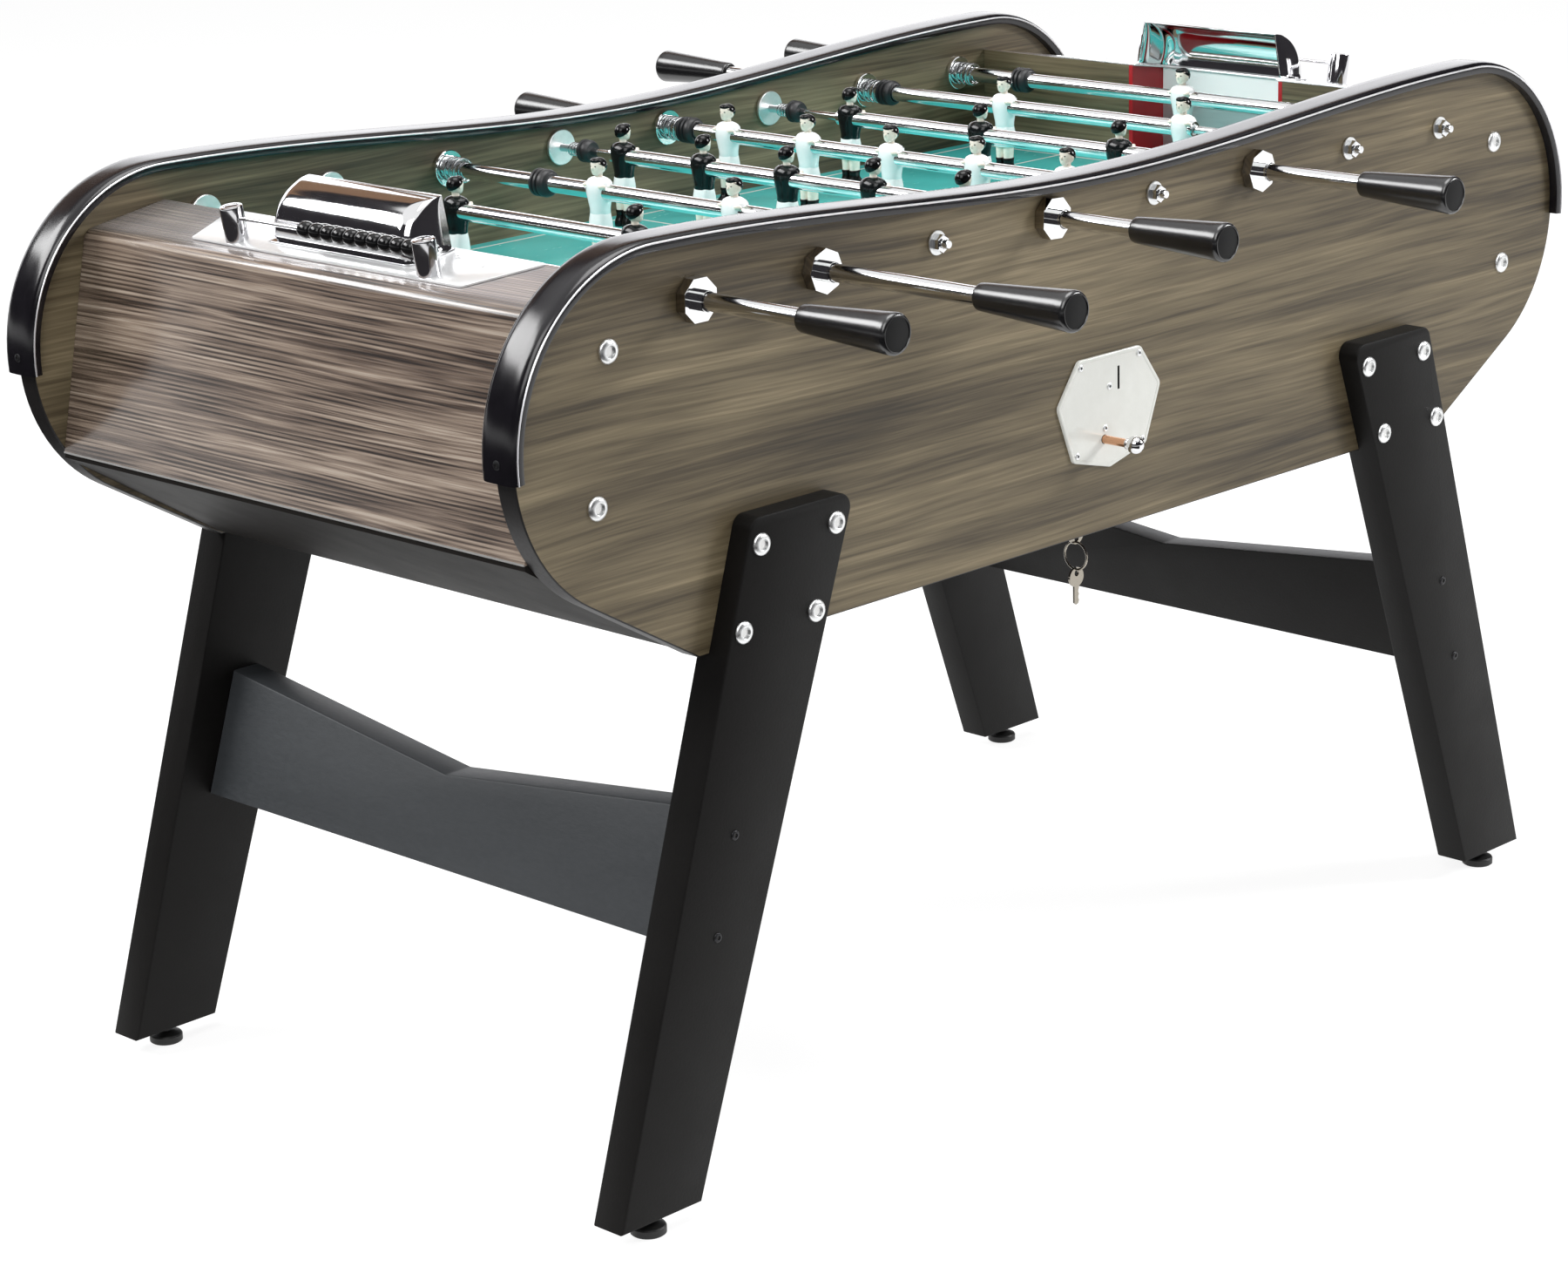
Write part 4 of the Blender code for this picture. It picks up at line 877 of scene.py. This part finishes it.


# Stretchers: boards between the legs of each end, leaning in line with them, with a top edge that dips to the
# middle. Dark grey, with the faces turned in under the table painted black as painted shade, and screwed through
# the legs.
stretcher_grey, wire = finish("stretcher_grey", paint(56, 59, 62), 0.5)
broad = noise(wire, (20, 3, 20), 3, 0.5)
fine = noise(wire, (330, 120, 330), 3, 0.6)
wire.feed({"Base Color": (broad * 0.5 + fine * 0.5).mixed(paint(42, 45, 48), paint(70, 73, 76))})
wire.feed({"Roughness": 0.42 + fine * 0.18, "Normal": bump(wire, fine, 0.0003, 0.4)})
beam_low, beam_high, beam_dip, beam_half = 0.242, 0.357, 0.322, 0.015
for name, end in (("left", -1), ("right", 1)):
    wide = leg_in - clear
    outline = [(-wide, beam_low), (wide, beam_low), (wide, beam_high)]
    outline += fillet((wide, beam_high), (0, beam_dip), (-wide, beam_high), 0.02, 4)
    outline += [(-wide, beam_high)]
    lean = (sum(leg_feet) - sum(leg_tops)) / 2 / (leg_top_z - leg_foot_z)
    half = beam_half / math.cos(math.atan(lean))

    def leaning(u, v, depth):
        return Vector((end * (sum(leg_tops) / 2 + (leg_top_z - v) * lean + depth), u, v))

    board = bmesh.new()
    slab(board, outline, -half, half, 0.0016, leaning)
    bmesh.ops.recalc_face_normals(board, faces=board.faces)
    # Faces turned inwards, under the table, take the legs' black as painted shade; the outer faces stay grey.
    for side in board.faces:
        side.material_index = int(end * side.normal.x < -0.5)
    looks = [stretcher_grey, leg_black_and_shade]
    piece(f"crossboard_{name}", board, looks, "grey_wood", "cabinet", f"stretcher_{name}", sharp=28)


# Player tubes: chromed steel tubes that slide on the inner shafts, with the men moulded round them. Three of them
# carry a loose rubber ring out on the tube.
rods = (
    ("near_keeper", -3.5, "near", 1, 0.0, 0.4670, 0.0070, 0.219),
    ("near_defence", -2.5, "near", 2, 0.2390, 0.5250, 0.0085, None),
    ("far_attack", -1.5, "far", 3, 0.1800, 0.4725, 0.0860, 0.255),
    ("near_midfield", -0.5, "near", 5, 0.1125, 0.4275, -0.0070, None),
    ("far_midfield", 0.5, "far", 5, 0.1125, 0.4275, 0.0040, None),
    ("near_attack", 1.5, "near", 3, 0.1800, 0.4725, 0.0120, None),
    ("far_defence", 2.5, "far", 2, 0.2390, 0.5250, 0.0085, None),
    ("far_keeper", 3.5, "far", 1, 0.0, 0.4670, 0.0070, 0.219),
)


def rod_frame(place, player):
    """Frame of a rod: on its axis in the middle of the table, its handle towards -Y."""
    here = Matrix.Translation((place * rod_apart, 0, rod_z))
    return here @ Matrix.Rotation(0 if player == "near" else math.pi, 4, "Z")


def tube_tip(men, apart, pushed):
    """Inner end of a tube, as a place along its rod."""
    tail = 0.195 if men == 1 else apart * (men - 1) / 2 + 0.0145
    return pushed + tail


tube_chrome = polished("tube_chrome", (0.84, 0.84, 0.85), 0.05, 0.16, 70)
tube_r, tube_bore_r, in_handle = 0.0080, 0.0056, 0.082
for rod, place, player, men, apart, handle, pushed, ring_at in rods:
    low, high = pushed - handle - in_handle, tube_tip(men, apart, pushed)
    tube = bmesh.new()
    profile = [(tube_bore_r, low), (tube_r, low), (tube_r, high - 0.0005)]
    profile += [(tube_r - 0.0004, high), (tube_bore_r, high)]
    lathe(tube, profile, 36, rod_frame(place, player))
    piece(f"barrel_{rod}", tube, [tube_chrome], "chrome", f"rod_{rod}", f"tube_{rod}")


# Men: hard plastic players moulded round the tube and hand-painted, with a plain face, glossy hair, short arms, wide
# shorts and the boots side by side. The near player's wear black shirts, the far player's white.
def gloss_paint(name, dark, light, rough, coat=0.5, ior=1.5):
    """Glossy brushed-on paint, a little uneven."""
    material, wire = finish(name, dark, rough, Coat_Weight=coat, Coat_Roughness=0.08, IOR=ior)
    cloud = noise(wire, (210, 210, 210), 3, 0.6)
    fine = noise(wire, (1200, 1200, 1200), 2)
    wire.feed({"Base Color": cloud.mixed(dark, light), "Roughness": rough + cloud * 0.10})
    wire.feed({"Normal": bump(wire, cloud * 0.7 + fine * 0.3, 0.0002, 0.3)})
    return material


shirt_black = gloss_paint("shirt_black", paint(12, 14, 15), paint(22, 25, 26), 0.10, 0.0, 1.36)
shirt_white = gloss_paint("shirt_white", paint(242, 244, 245), paint(252, 252, 252), 0.16)
shorts_white = gloss_paint("shorts_white", paint(243, 244, 244), paint(252, 252, 252), 0.18)
skin_pale = gloss_paint("skin_pale", paint(246, 232, 216), paint(252, 243, 231), 0.22)
boot_black = gloss_paint("boot_black", paint(13, 14, 14), paint(24, 25, 25), 0.12, 0.0, 1.36)
hair_black = gloss_paint("hair_black", paint(8, 8, 9), paint(17, 16, 17), 0.10, 0.0, 1.34)


def loft(bm, place, sections, look, power=2.4, sides=20, y=0.0):
    """Rounded body from sections of (height, back, front, half width)."""
    rows = []
    for z, back, front, half in sections:
        middle, deep = (front + back) / 2, (front - back) / 2
        row = []
        for k in range(sides):
            a = 2 * math.pi * (k + 0.5) / sides
            u, v = (math.copysign(abs(t) ** (2 / power), t) for t in (math.cos(a), math.sin(a)))
            row.append(place @ Vector((middle + deep * u, y + half * v, z)))
        rows.append(row)
    skin(bm, rows, look)


def limb(bm, place, points, look, sides=10):
    """Round limb through points of (x, y, z, radius), with rounded ends."""
    spots = [Vector(p[:3]) for p in points]
    rows = []
    for k, (at, radius) in enumerate(zip(spots, (p[3] for p in points))):
        along = (spots[min(k + 1, len(spots) - 1)] - spots[max(k - 1, 0)]).normalized()
        one = along.orthogonal().normalized()
        if rows:
            one = (aim - along * aim.dot(along)).normalized()
        aim = one
        two = along.cross(one)
        ring = [one * math.cos(a) + two * math.sin(a) for a in (2 * math.pi * n / sides for n in range(sides))]
        if k == 0:
            rows.append([at - along * 0.7 * radius + 0.5 * radius * arm for arm in ring])
        rows.append([at + radius * arm for arm in ring])
        if k == len(spots) - 1:
            rows.append([at + along * 0.7 * radius + 0.5 * radius * arm for arm in ring])
    skin(bm, [[place @ p for p in row] for row in rows], look)


def pebble(bm, place, centre, radii, look, axis=(0, 0, 1), reach=180, sides=16, rings=9):
    """Egg shape, or a cap of one about an axis that reaches this many degrees down."""
    pole = Vector(axis).normalized()
    one = pole.orthogonal().normalized()
    two = pole.cross(one)
    rows = []
    for k in range(rings + 1):
        t = math.radians(reach) * k / rings
        if k == 0 or (k == rings and reach == 180):
            ring = [pole * math.cos(t)]
        else:
            around = (2 * math.pi * n / sides for n in range(sides))
            ring = [pole * math.cos(t) + math.sin(t) * (one * math.cos(a) + two * math.sin(a)) for a in around]
        rows.append([place @ Vector([c + r * p for c, r, p in zip(centre, radii, point)]) for point in ring])
    skin(bm, rows, look)


def man(bm, place):
    """One player, feet down and facing +X. Looks: shirt, shorts, skin, boots, hair."""
    for y in (-0.0049, 0.0049):
        boot = [(-0.0700, -0.0082, 0.0108, 0.0049), (-0.0692, -0.0086, 0.0115, 0.0053)]
        boot += [(-0.0665, -0.0087, 0.0112, 0.0054), (-0.0642, -0.0082, 0.0096, 0.0051)]
        boot += [(-0.0622, -0.0072, 0.0072, 0.0045), (-0.0600, -0.0064, 0.0060, 0.0041)]
        boot += [(-0.0570, -0.0062, 0.0059, 0.0041), (-0.0540, -0.0068, 0.0066, 0.0046)]
        boot += [(-0.0533, -0.0064, 0.0062, 0.0043)]
        loft(bm, place, boot, 3, 2.8, 16, y)
        shank = [(-0.0545, -0.0060, 0.0060, 0.0042), (-0.0480, -0.0064, 0.0064, 0.0046)]
        shank += [(-0.0385, -0.0068, 0.0068, 0.0050)]
        loft(bm, place, shank, 2, 2.2, 14, y)
    shorts = [(-0.0412, -0.0092, 0.0090, 0.0116), (-0.0405, -0.0096, 0.0095, 0.0121)]
    shorts += [(-0.0350, -0.0098, 0.0097, 0.0120), (-0.0270, -0.0094, 0.0092, 0.0112)]
    shorts += [(-0.0200, -0.0084, 0.0082, 0.0099), (-0.0185, -0.0078, 0.0076, 0.0092)]
    loft(bm, place, shorts, 1, 2.6, 24)
    shirt = [(-0.0212, -0.0082, 0.0080, 0.0097), (-0.0205, -0.0087, 0.0085, 0.0102)]
    shirt += [(-0.0160, -0.0086, 0.0086, 0.0104), (-0.0080, -0.0096, 0.0100, 0.0119)]
    shirt += [(-0.0010, -0.0107, 0.0112, 0.0134), (0.0050, -0.0108, 0.0110, 0.0142)]
    shirt += [(0.0090, -0.0096, 0.0096, 0.0140), (0.0115, -0.0078, 0.0078, 0.0122)]
    shirt += [(0.0132, -0.0058, 0.0060, 0.0088), (0.0142, -0.0042, 0.0046, 0.0048)]
    loft(bm, place, shirt, 0, 2.3, 24)
    neck = [(0.0120, -0.0036, 0.0040, 0.0040), (0.0160, -0.0034, 0.0036, 0.0036)]
    neck += [(0.0195, -0.0040, 0.0040, 0.0038)]
    loft(bm, place, neck, 2, 2, 14)
    head = [(0.0158, 0.0010, 0.0056, 0.0024), (0.0168, -0.0018, 0.0069, 0.0041)]
    head += [(0.0190, -0.0056, 0.0076, 0.0056), (0.0220, -0.0073, 0.0079, 0.0066)]
    head += [(0.0252, -0.0077, 0.0080, 0.0070), (0.0280, -0.0073, 0.0073, 0.0066)]
    head += [(0.0302, -0.0056, 0.0054, 0.0050), (0.0313, -0.0028, 0.0026, 0.0024)]
    loft(bm, place, head, 2, 2.2, 20)
    pebble(bm, place, (0.0080, 0, 0.0226), (0.0014, 0.0011, 0.0019), 2, sides=10, rings=6)
    for y in (-1, 1):
        pebble(bm, place, (0.0002, y * 0.0069, 0.0230), (0.0015, 0.0009, 0.0021), 2, sides=10, rings=6)
        pebble(bm, place, (0.0071, y * 0.0029, 0.0246), (0.0008, 0.0010, 0.0006), 4, sides=8, rings=5)
        sleeve = [(-0.0005, y * 0.0098, 0.0096, 0.0036), (-0.0002, y * 0.0111, 0.0076, 0.0036)]
        limb(bm, place, sleeve + [(0.0010, y * 0.0114, 0.0052, 0.0033)], 0)
        forearm = [(0.0020, y * 0.0112, 0.0050, 0.0023), (0.0060, y * 0.0112, 0.0066, 0.0021)]
        limb(bm, place, forearm + [(0.0096, y * 0.0106, 0.0064, 0.0022)], 2)
    pebble(bm, place, (-0.0002, 0, 0.0243), (0.0085, 0.0077, 0.0081), 4, (-0.56, 0, 0.83), 92, 20, 8)
    pebble(bm, place, (0.0040, 0, 0.0296), (0.0046, 0.0058, 0.0027), 4, sides=12, rings=7)


for rod, place, player, men, apart, handle, pushed, ring_at in rods:
    crew = bmesh.new()
    for k in range(men):
        y = pushed + apart * (k - (men - 1) / 2)
        man(crew, rod_frame(place, player) @ Matrix.Translation((0, y, 0)))
    looks = [shirt_black if player == "near" else shirt_white, shorts_white, skin_pale, boot_black, hair_black]
    piece(f"men_{rod}", crew, looks, "enamel", f"rod_{rod}", sharp=50)


# Tube rings: ribbed black rubber bumpers with two grooves and a tapered nose towards the men. They are pushed up
# against the bearing spring, or ride out on the tube of the goalkeepers and the far attack.
rubber_black, wire = finish("rubber_black", paint(26, 26, 28), 0.42)
cloud = noise(wire, (160, 160, 160), 4, 0.6)
wire.feed({"Base Color": cloud.mixed(paint(18, 18, 20), paint(40, 40, 43)), "Roughness": 0.34 + cloud * 0.2})
wire.feed({"Normal": bump(wire, cloud, 0.0002, 0.3)})
ring_l, inner_spring_end, bearing_bore_r = 0.022, -0.2847, 0.0086
ribs = ((bearing_bore_r, 0.0000), (0.0122, 0.0000), (0.0133, 0.0009), (0.0135, 0.0020), (0.0133, 0.0034))
ribs += ((0.0124, 0.0040), (0.0104, 0.0043), (0.0104, 0.0053), (0.0124, 0.0056), (0.0133, 0.0062))
ribs += ((0.0135, 0.0075), (0.0133, 0.0089), (0.0124, 0.0095), (0.0104, 0.0098), (0.0104, 0.0108))
ribs += ((0.0124, 0.0111), (0.0133, 0.0117), (0.0135, 0.0140), (0.0131, 0.0158), (0.0122, 0.0178))
ribs += ((0.0108, 0.0190), (0.0096, 0.0195), (bearing_bore_r, 0.0195))
for rod, place, player, men, apart, handle, pushed, ring_at in rods:
    start = inner_spring_end if ring_at is None else pushed - ring_at - ring_l / 2
    bore = bearing_bore_r if ring_at is None else tube_r
    ring = bmesh.new()
    profile = [(r if r > bearing_bore_r else bore, start + y) for r, y in ribs]
    lathe(ring, profile, 40, rod_frame(place, player))
    body = "cabinet" if ring_at is None else f"rod_{rod}"
    piece(f"ring_{rod}", ring, [rubber_black], "handle_black", body)


# Handles: tapered grips of satin black plastic, moulded on the tube's outer end and widening evenly to a butt with a
# rounded rim, closed by a plain cap.
grip_black, wire = finish("grip_black", paint(14, 14, 16), 0.22, IOR=1.75)
cloud = noise(wire, (50, 50, 50), 4, 0.6)
fine = noise(wire, (700, 700, 700), 2)
wire.feed({"Base Color": cloud.mixed(paint(9, 9, 10), paint(19, 19, 21))})
wire.feed({"Roughness": 0.18 + cloud * 0.08 + fine * 0.05, "Normal": bump(wire, fine, 0.00002, 0.3)})
cap_black, wire = finish("grip_cap_black", paint(16, 16, 17), 0.5, Specular_IOR_Level=0.2)
fine = noise(wire, (700, 700, 700), 2)
wire.feed({"Base Color": fine.mixed(paint(11, 11, 12), paint(24, 24, 25)), "Roughness": 0.44 + fine * 0.14})
grip_l, thin_r, fat_r, disc_r = 0.103, 0.0119, 0.0175, 0.0143
for rod, place, player, men, apart, handle, pushed, ring_at in rods:
    start = pushed - handle
    end = start - grip_l
    bottom, bore = start - in_handle - clear, tube_r + 0.0004
    profile = [(0, bottom), (bore, bottom), (bore, start - 0.0004), (bore + 0.0004, start)]
    profile += [(thin_r - 0.0020, start), (thin_r - 0.0012, start - 0.0003), (thin_r - 0.0004, start - 0.0012)]
    for k in range(13):
        share = k / 12
        profile.append((thin_r + (fat_r - thin_r) * share, start - 0.0026 - (grip_l - 0.0070) * share))
    for k in range(1, 8):
        a = math.radians(90 * k / 7)
        profile.append((fat_r - 0.0030 * (1 - math.cos(a)), end + 0.0044 * (1 - math.sin(a))))
    profile += [(disc_r + 0.0001, end + 0.0001), (disc_r - 0.0001, end + 0.0009), (0, end + 0.0011)]
    grip = bmesh.new()
    lathe(grip, profile, 48, rod_frame(place, player))
    cap = [(0, end + 0.0009), (disc_r - 0.0010, end + 0.0006), (disc_r - 0.0004, end + 0.0008)]
    cap += [(disc_r - 0.0002, end + 0.0012), (0, end + 0.0013)]
    lathe(grip, cap, 48, rod_frame(place, player), 1)
    piece(f"grip_{rod}", grip, [grip_black, cap_black], "handle_black", f"rod_{rod}", f"handle_{rod}")


# Inner shafts: ground steel bars bolted through the opposite wall by a washer and a hexagon nut. Each carries a zinc
# disc, a small coil spring and a rubber buffer that stops the tube.
def spring(bm, place, radius, start, end, gauge, turns, look):
    """Coil of round wire about Y with closed ends."""
    rows = []
    count = 20 * turns
    way = math.copysign(1, end - start)
    for k in range(count + 1):
        share = k / count
        run = min(max((share * turns - 0.5) / (turns - 1), 0), 1)
        y = start + way * gauge + (end - start - 2 * way * gauge) * run
        a = 2 * math.pi * turns * share
        out = Vector((math.cos(a), 0, math.sin(a)))
        climb = Vector((0, 1, 0)) * (end - start) / (2 * math.pi * radius * turns)
        along = (Vector((-math.sin(a), 0, math.cos(a))) + climb).normalized()
        side = along.cross(out)
        ring = (out * math.cos(t) + side * math.sin(t) for t in (2 * math.pi * n / 10 for n in range(10)))
        rows.append([place @ (out * radius + Vector((0, y, 0)) + gauge * arm) for arm in ring])
    skin(bm, rows, look)


def washer(bm, place, radius, start, thick, ease, sides, look):
    """Flat ring round the shaft with eased edges."""
    profile = [(shaft_r, start), (radius - ease, start), (radius, start + ease)]
    profile += [(radius, start + thick - ease), (radius - ease, start + thick), (shaft_r, start + thick)]
    lathe(bm, profile, sides, place, look)


shaft_r, shaft_reach, nut_r, buffer_l = 0.0040, 0.360, 0.0082, 0.013
shaft_steel = polished("shaft_steel", (0.80, 0.81, 0.82), 0.08, 0.2, 80)
spring_steel = polished("spring_steel", (0.72, 0.73, 0.74), 0.14, 0.26, 200)
for rod, place, player, men, apart, handle, pushed, ring_at in rods:
    here = rod_frame(place, player)
    disc = panel_in - 0.0043
    stop = max(0.2620, tube_tip(men, apart, pushed) + 0.0005)
    seat = stop + buffer_l
    out, inner_end = panel_out + clear, panel_in - shaft_reach
    bar = bmesh.new()
    core = [(0, inner_end), (shaft_r - 0.0004, inner_end), (shaft_r, inner_end + 0.0006)]
    core += [(shaft_r, out + 0.0142), (shaft_r - 0.0006, out + 0.0152), (0, out + 0.0154)]
    lathe(bar, core, 24, here)
    washer(bar, here, 0.0180, disc, 0.0040, 0.0006, 48, 1)
    spring(bar, here, 0.0061, seat, min(seat + 0.0175, disc), 0.0008, 5, 2)
    washer(bar, here, 0.0110, out, 0.0020, 0.0004, 36, 1)
    nut = [(shaft_r, out + 0.0020), (nut_r - 0.0006, out + 0.0020), (nut_r, out + 0.0026), (nut_r, out + 0.0084)]
    nut += [(nut_r - 0.0008, out + 0.0090), (0.0050, out + 0.0090), (shaft_r, out + 0.0082)]
    lathe(bar, nut, 6, here)
    looks = [shaft_steel, bright_zinc, spring_steel]
    piece(f"bar_{rod}", bar, looks, "chrome", f"shaft_{rod}", f"shaft_{rod}")
    buffer = bmesh.new()
    profile = [(shaft_r, seat), (0.0108, seat), (0.0115, seat - 0.0008), (0.0115, seat - 0.0030)]
    profile += [(0.0108, seat - 0.0036), (0.0101, seat - 0.0040), (0.0101, seat - 0.0048)]
    profile += [(0.0110, seat - 0.0054), (0.0114, seat - 0.0070), (0.0110, seat - 0.0096)]
    profile += [(0.0099, seat - 0.0120), (0.0090, seat - buffer_l), (shaft_r, seat - buffer_l)]
    lathe(buffer, profile, 40, here)
    piece(f"buffer_{rod}", buffer, [rubber_black], "handle_black", f"shaft_{rod}")


# Bearings: thick chromed eight-sided rosettes outside each wall, turned in one with a thin sleeve that goes through
# the panel to a disc inside, on which the buffer spring sits.
rosette_chrome = polished("rosette_chrome", (0.90, 0.91, 0.91), 0.02, 0.08, 110)
rosette_side_shade = polished("rosette_side_shade", (0.42, 0.38, 0.33), 0.06, 0.16, 110)
lean_by_rod = (0.00, 0.39, 0.39, 0.05, 0.30, 0.39, 0.10, 0.24)
rosette_corner_r, rosette_hole_r = 0.0200, 0.0093
for (rod, place, player, men, apart, handle, pushed, ring_at), swing in zip(rods, lean_by_rod):
    here = rod_frame(place, player)
    face, inside = -panel_out - clear, -panel_in + clear
    bush = bmesh.new()
    collar = [(bearing_bore_r, face - 0.0200), (0.0089, face - 0.0200), (0.0091, face - 0.0198)]
    collar += [(0.0091, face - 0.0100), (0.0115, face - 0.0060), (0.0115, inside), (0.0174, inside)]
    collar += [(0.0180, inside + 0.0006), (0.0180, inside + 0.0034), (0.0174, inside + 0.0040)]
    collar += [(bearing_bore_r, inside + 0.0040)]
    lathe(bush, collar, 40, here)
    turned = here @ Matrix.Rotation(swing, 4, "Y")
    corner, hole = rosette_corner_r, rosette_hole_r
    # The eight side faces are a darker, brown-tinted chrome: painted shade and a painted reflection of the walnut.
    # The thin face in front is bright chrome.
    flats = [(hole, face), (corner - 0.0003, face), (corner, face - 0.0003), (corner, face - 0.0101)]
    lathe(bush, flats + [(hole, face - 0.0101)], 8, turned, 2)
    flats = [(hole, face - 0.0102), (corner, face - 0.0102), (corner, face - 0.0106)]
    lathe(bush, flats + [(corner - 0.0002, face - 0.0108), (hole, face - 0.0108)], 8, turned)
    start = inside + 0.0040
    spring(bush, here, 0.0112, start, start + 0.022, 0.0013, 4, 1)
    looks = [rosette_chrome, spring_steel, rosette_side_shade]
    piece(f"bush_{rod}", bush, looks, "chrome", "cabinet", f"bearing_{rod}", sharp=30)


# Coin plate: a cast shield in off-white enamel on the near panel, with a bevelled rim, a narrow coin slot and six
# screws that hold it flat to the laminate.
enamel_white, wire = finish("enamel_white", paint(225, 226, 220), 0.22, Coat_Weight=0.4, Coat_Roughness=0.06)
cloud = noise(wire, (60, 60, 60), 4, 0.6)
peel = noise(wire, (420, 420, 420), 2)
wire.feed({"Base Color": cloud.mixed(paint(218, 219, 212), paint(232, 233, 228)), "Roughness": 0.16 + cloud * 0.12})
wire.feed({"Normal": bump(wire, peel, 0.0002, 0.25)})
slot_shade, wire = finish("slot_shade", paint(14, 14, 14), 0.7)
grit = noise(wire, (500, 500, 500))
wire.feed({"Base Color": grit.mixed(paint(9, 9, 9), paint(24, 23, 22))})
shield = ((-0.0445, 0.054), (0.0445, 0.054), (0.074, 0.014), (0.0525, -0.041), (0, -0.054))
shield += ((-0.0525, -0.041), (-0.074, 0.014))
outline = []
for k, corner in enumerate(shield):
    outline += fillet(shield[k - 1], corner, shield[(k + 1) % len(shield)], 0.007, 6)
outline = [(0.008 + x, 0.610 + z) for x, z in outline]
back = -panel_out - clear
face = back - 0.003
bevel = ((back, 0), (face + 0.0012, 0), (face + 0.0005, 0.0003), (face + 0.0001, 0.0010))
bevel += ((face, 0.0020), (face + 0.0003, 0.0036), (face + 0.0006, 0.0040))
shield_cast = bmesh.new()
skin(shield_cast, [[Vector((x, y, z)) for x, z in inset(outline, by)] for y, by in bevel])
holes = bmesh.new()
punch(holes, [(0.0190, 0.628), (0.0220, 0.628), (0.0220, 0.650), (0.0190, 0.650)], face, back)
drill(holes, 0.0044, face, back, 24, Matrix.Translation((0, 0, plunger_z)))
shield_cast = carve(shield_cast, holes)
for x, z in ((-0.034, 0.657), (0.050, 0.657), (0.007, 0.633), (0.001, 0.5945), (0.055, 0.574), (-0.039, 0.575)):
    bolt_head(shield_cast, Matrix.Translation((x, face + 0.0006, z)), 0.0034, 0.0014, 0.0013, 2)
looks = [enamel_white, slot_shade, bright_zinc, drive_shade]
piece("coin_shield", shield_cast, looks, "enamel", "cabinet", "coin_plate", sharp=28)


# Coin mechanism: a pressed and galvanised steel housing behind the shield, over the cash box inside the cabinet.
# It is fixed to the back of the near panel, out of sight.
mech_alloy = zinc_plate("mech_alloy", (0.50, 0.50, 0.49))
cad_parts["coin_mech"].material_slots[0].material = mech_alloy


# Coin plunger: a copper-coloured push pin with a chromed ball knob, which trips the mechanism and springs back.
# Turned from bar, it slides through a hole in the shield and the panel.
pin_copper = polished("pin_copper", (0.72, 0.40, 0.24), 0.12, 0.26, 200)
knob_chrome = polished("knob_chrome", (0.83, 0.83, 0.84), 0.03, 0.12, 200)
ball = face - 0.036
plunger = bmesh.new()
at = Matrix.Translation((0, 0, plunger_z))
pin_end, ball_r = -panel_in + 0.036, 0.0085
pin = [(0, ball), (0.0040, ball), (0.0040, pin_end - 0.0005), (0.0035, pin_end), (0, pin_end)]
lathe(plunger, pin, 28, at, 1)
profile = [(0, ball - ball_r)]
for k in range(1, 16):
    a = math.pi * k / 16
    if k < 9 or ball_r * math.sin(a) > 0.0042:
        profile.append((ball_r * math.sin(a), ball - ball_r * math.cos(a)))
profile += [(0.0052, ball + 0.0078), (0.0052, ball + 0.0094), (0.0042, ball + 0.0098), (0, ball + 0.0098)]
lathe(plunger, profile, 36, at, 0)
piece("plunger_pin", plunger, [knob_chrome, pin_copper], "chrome", "plunger", "coin_plunger", sharp=40)


# Cash lock: a nickelled cam lock under the cabinet's floor with its key in it, and the spare hanging on a split
# ring. Its barrel goes up through the floor board, and the keys are stamped from flat sheet.
nickel = polished("lock_nickel", (0.36, 0.33, 0.28), 0.12, 0.26, 160)
low = 0.500 - clear
lock = bmesh.new()
here = Matrix.Translation((0.024, -0.280, 0))
barrel = [(0, low - 0.0030), (0.0070, low - 0.0030), (0.0075, low - 0.0026), (0.0078, low - 0.0022)]
barrel += [(0.0122, low - 0.0024), (0.0130, low - 0.0016), (0.0130, low), (0.0090, low)]
barrel += [(0.0090, 0.511), (0, 0.511)]
lathe(lock, barrel, 32, here @ standing(0, 0))


def key_shape(bm, tip_z, bow_z, tip_way):
    """Flat key: a round bow with a hole and a toothed blade that points up or down."""
    around = [2 * math.pi * k / 28 for k in range(28)]
    hole_z = bow_z - tip_way * 0.0040
    bow = [(0.0100 * math.sin(a), bow_z + 0.0095 * math.cos(a)) for a in around]
    hole = [(0.0032 * math.sin(a), hole_z + 0.0032 * math.cos(a)) for a in around]
    plans = ((bow, -0.0011), (bow, 0.0011), (hole, 0.0011), (hole, -0.0011))
    skin(bm, [[here @ Vector((x, y, z)) for x, z in plan] for plan, y in plans], closed=True)
    root = bow_z + tip_way * 0.0090
    length = abs(tip_z - root)
    blade = [(-0.0034, root), (-0.0034, root + tip_way * (length - 0.0020)), (-0.0010, tip_z)]
    for k in range(6):
        at_z = tip_z - tip_way * length * (k + 0.3) / 6
        blade.append((0.0022 + 0.0011 * (k % 2), at_z))
    blade += [(0.0034, root)]
    skin(bm, [[here @ Vector((x, y, z)) for x, z in blade] for y in (-0.0010, 0.0010)])


key_shape(lock, low - 0.0022, low - 0.0210, 1)
key_shape(lock, low - 0.0900, low - 0.0630, -1)
rows = []
for k in range(40):
    a = 2 * math.pi * k / 40
    out = Vector((0, math.cos(a), math.sin(a)))
    middle = Vector((0, 0, low - 0.0420)) + 0.0135 * out
    section = [2 * math.pi * n / 10 for n in range(10)]
    ring = [out * math.cos(t) + Vector((1, 0, 0)) * math.sin(t) for t in section]
    rows.append([here @ (middle + 0.0011 * arm) for arm in ring])
skin(lock, rows, closed=True)
piece("lock_and_keys", lock, [nickel], "zinc", "lock", "cash_lock")
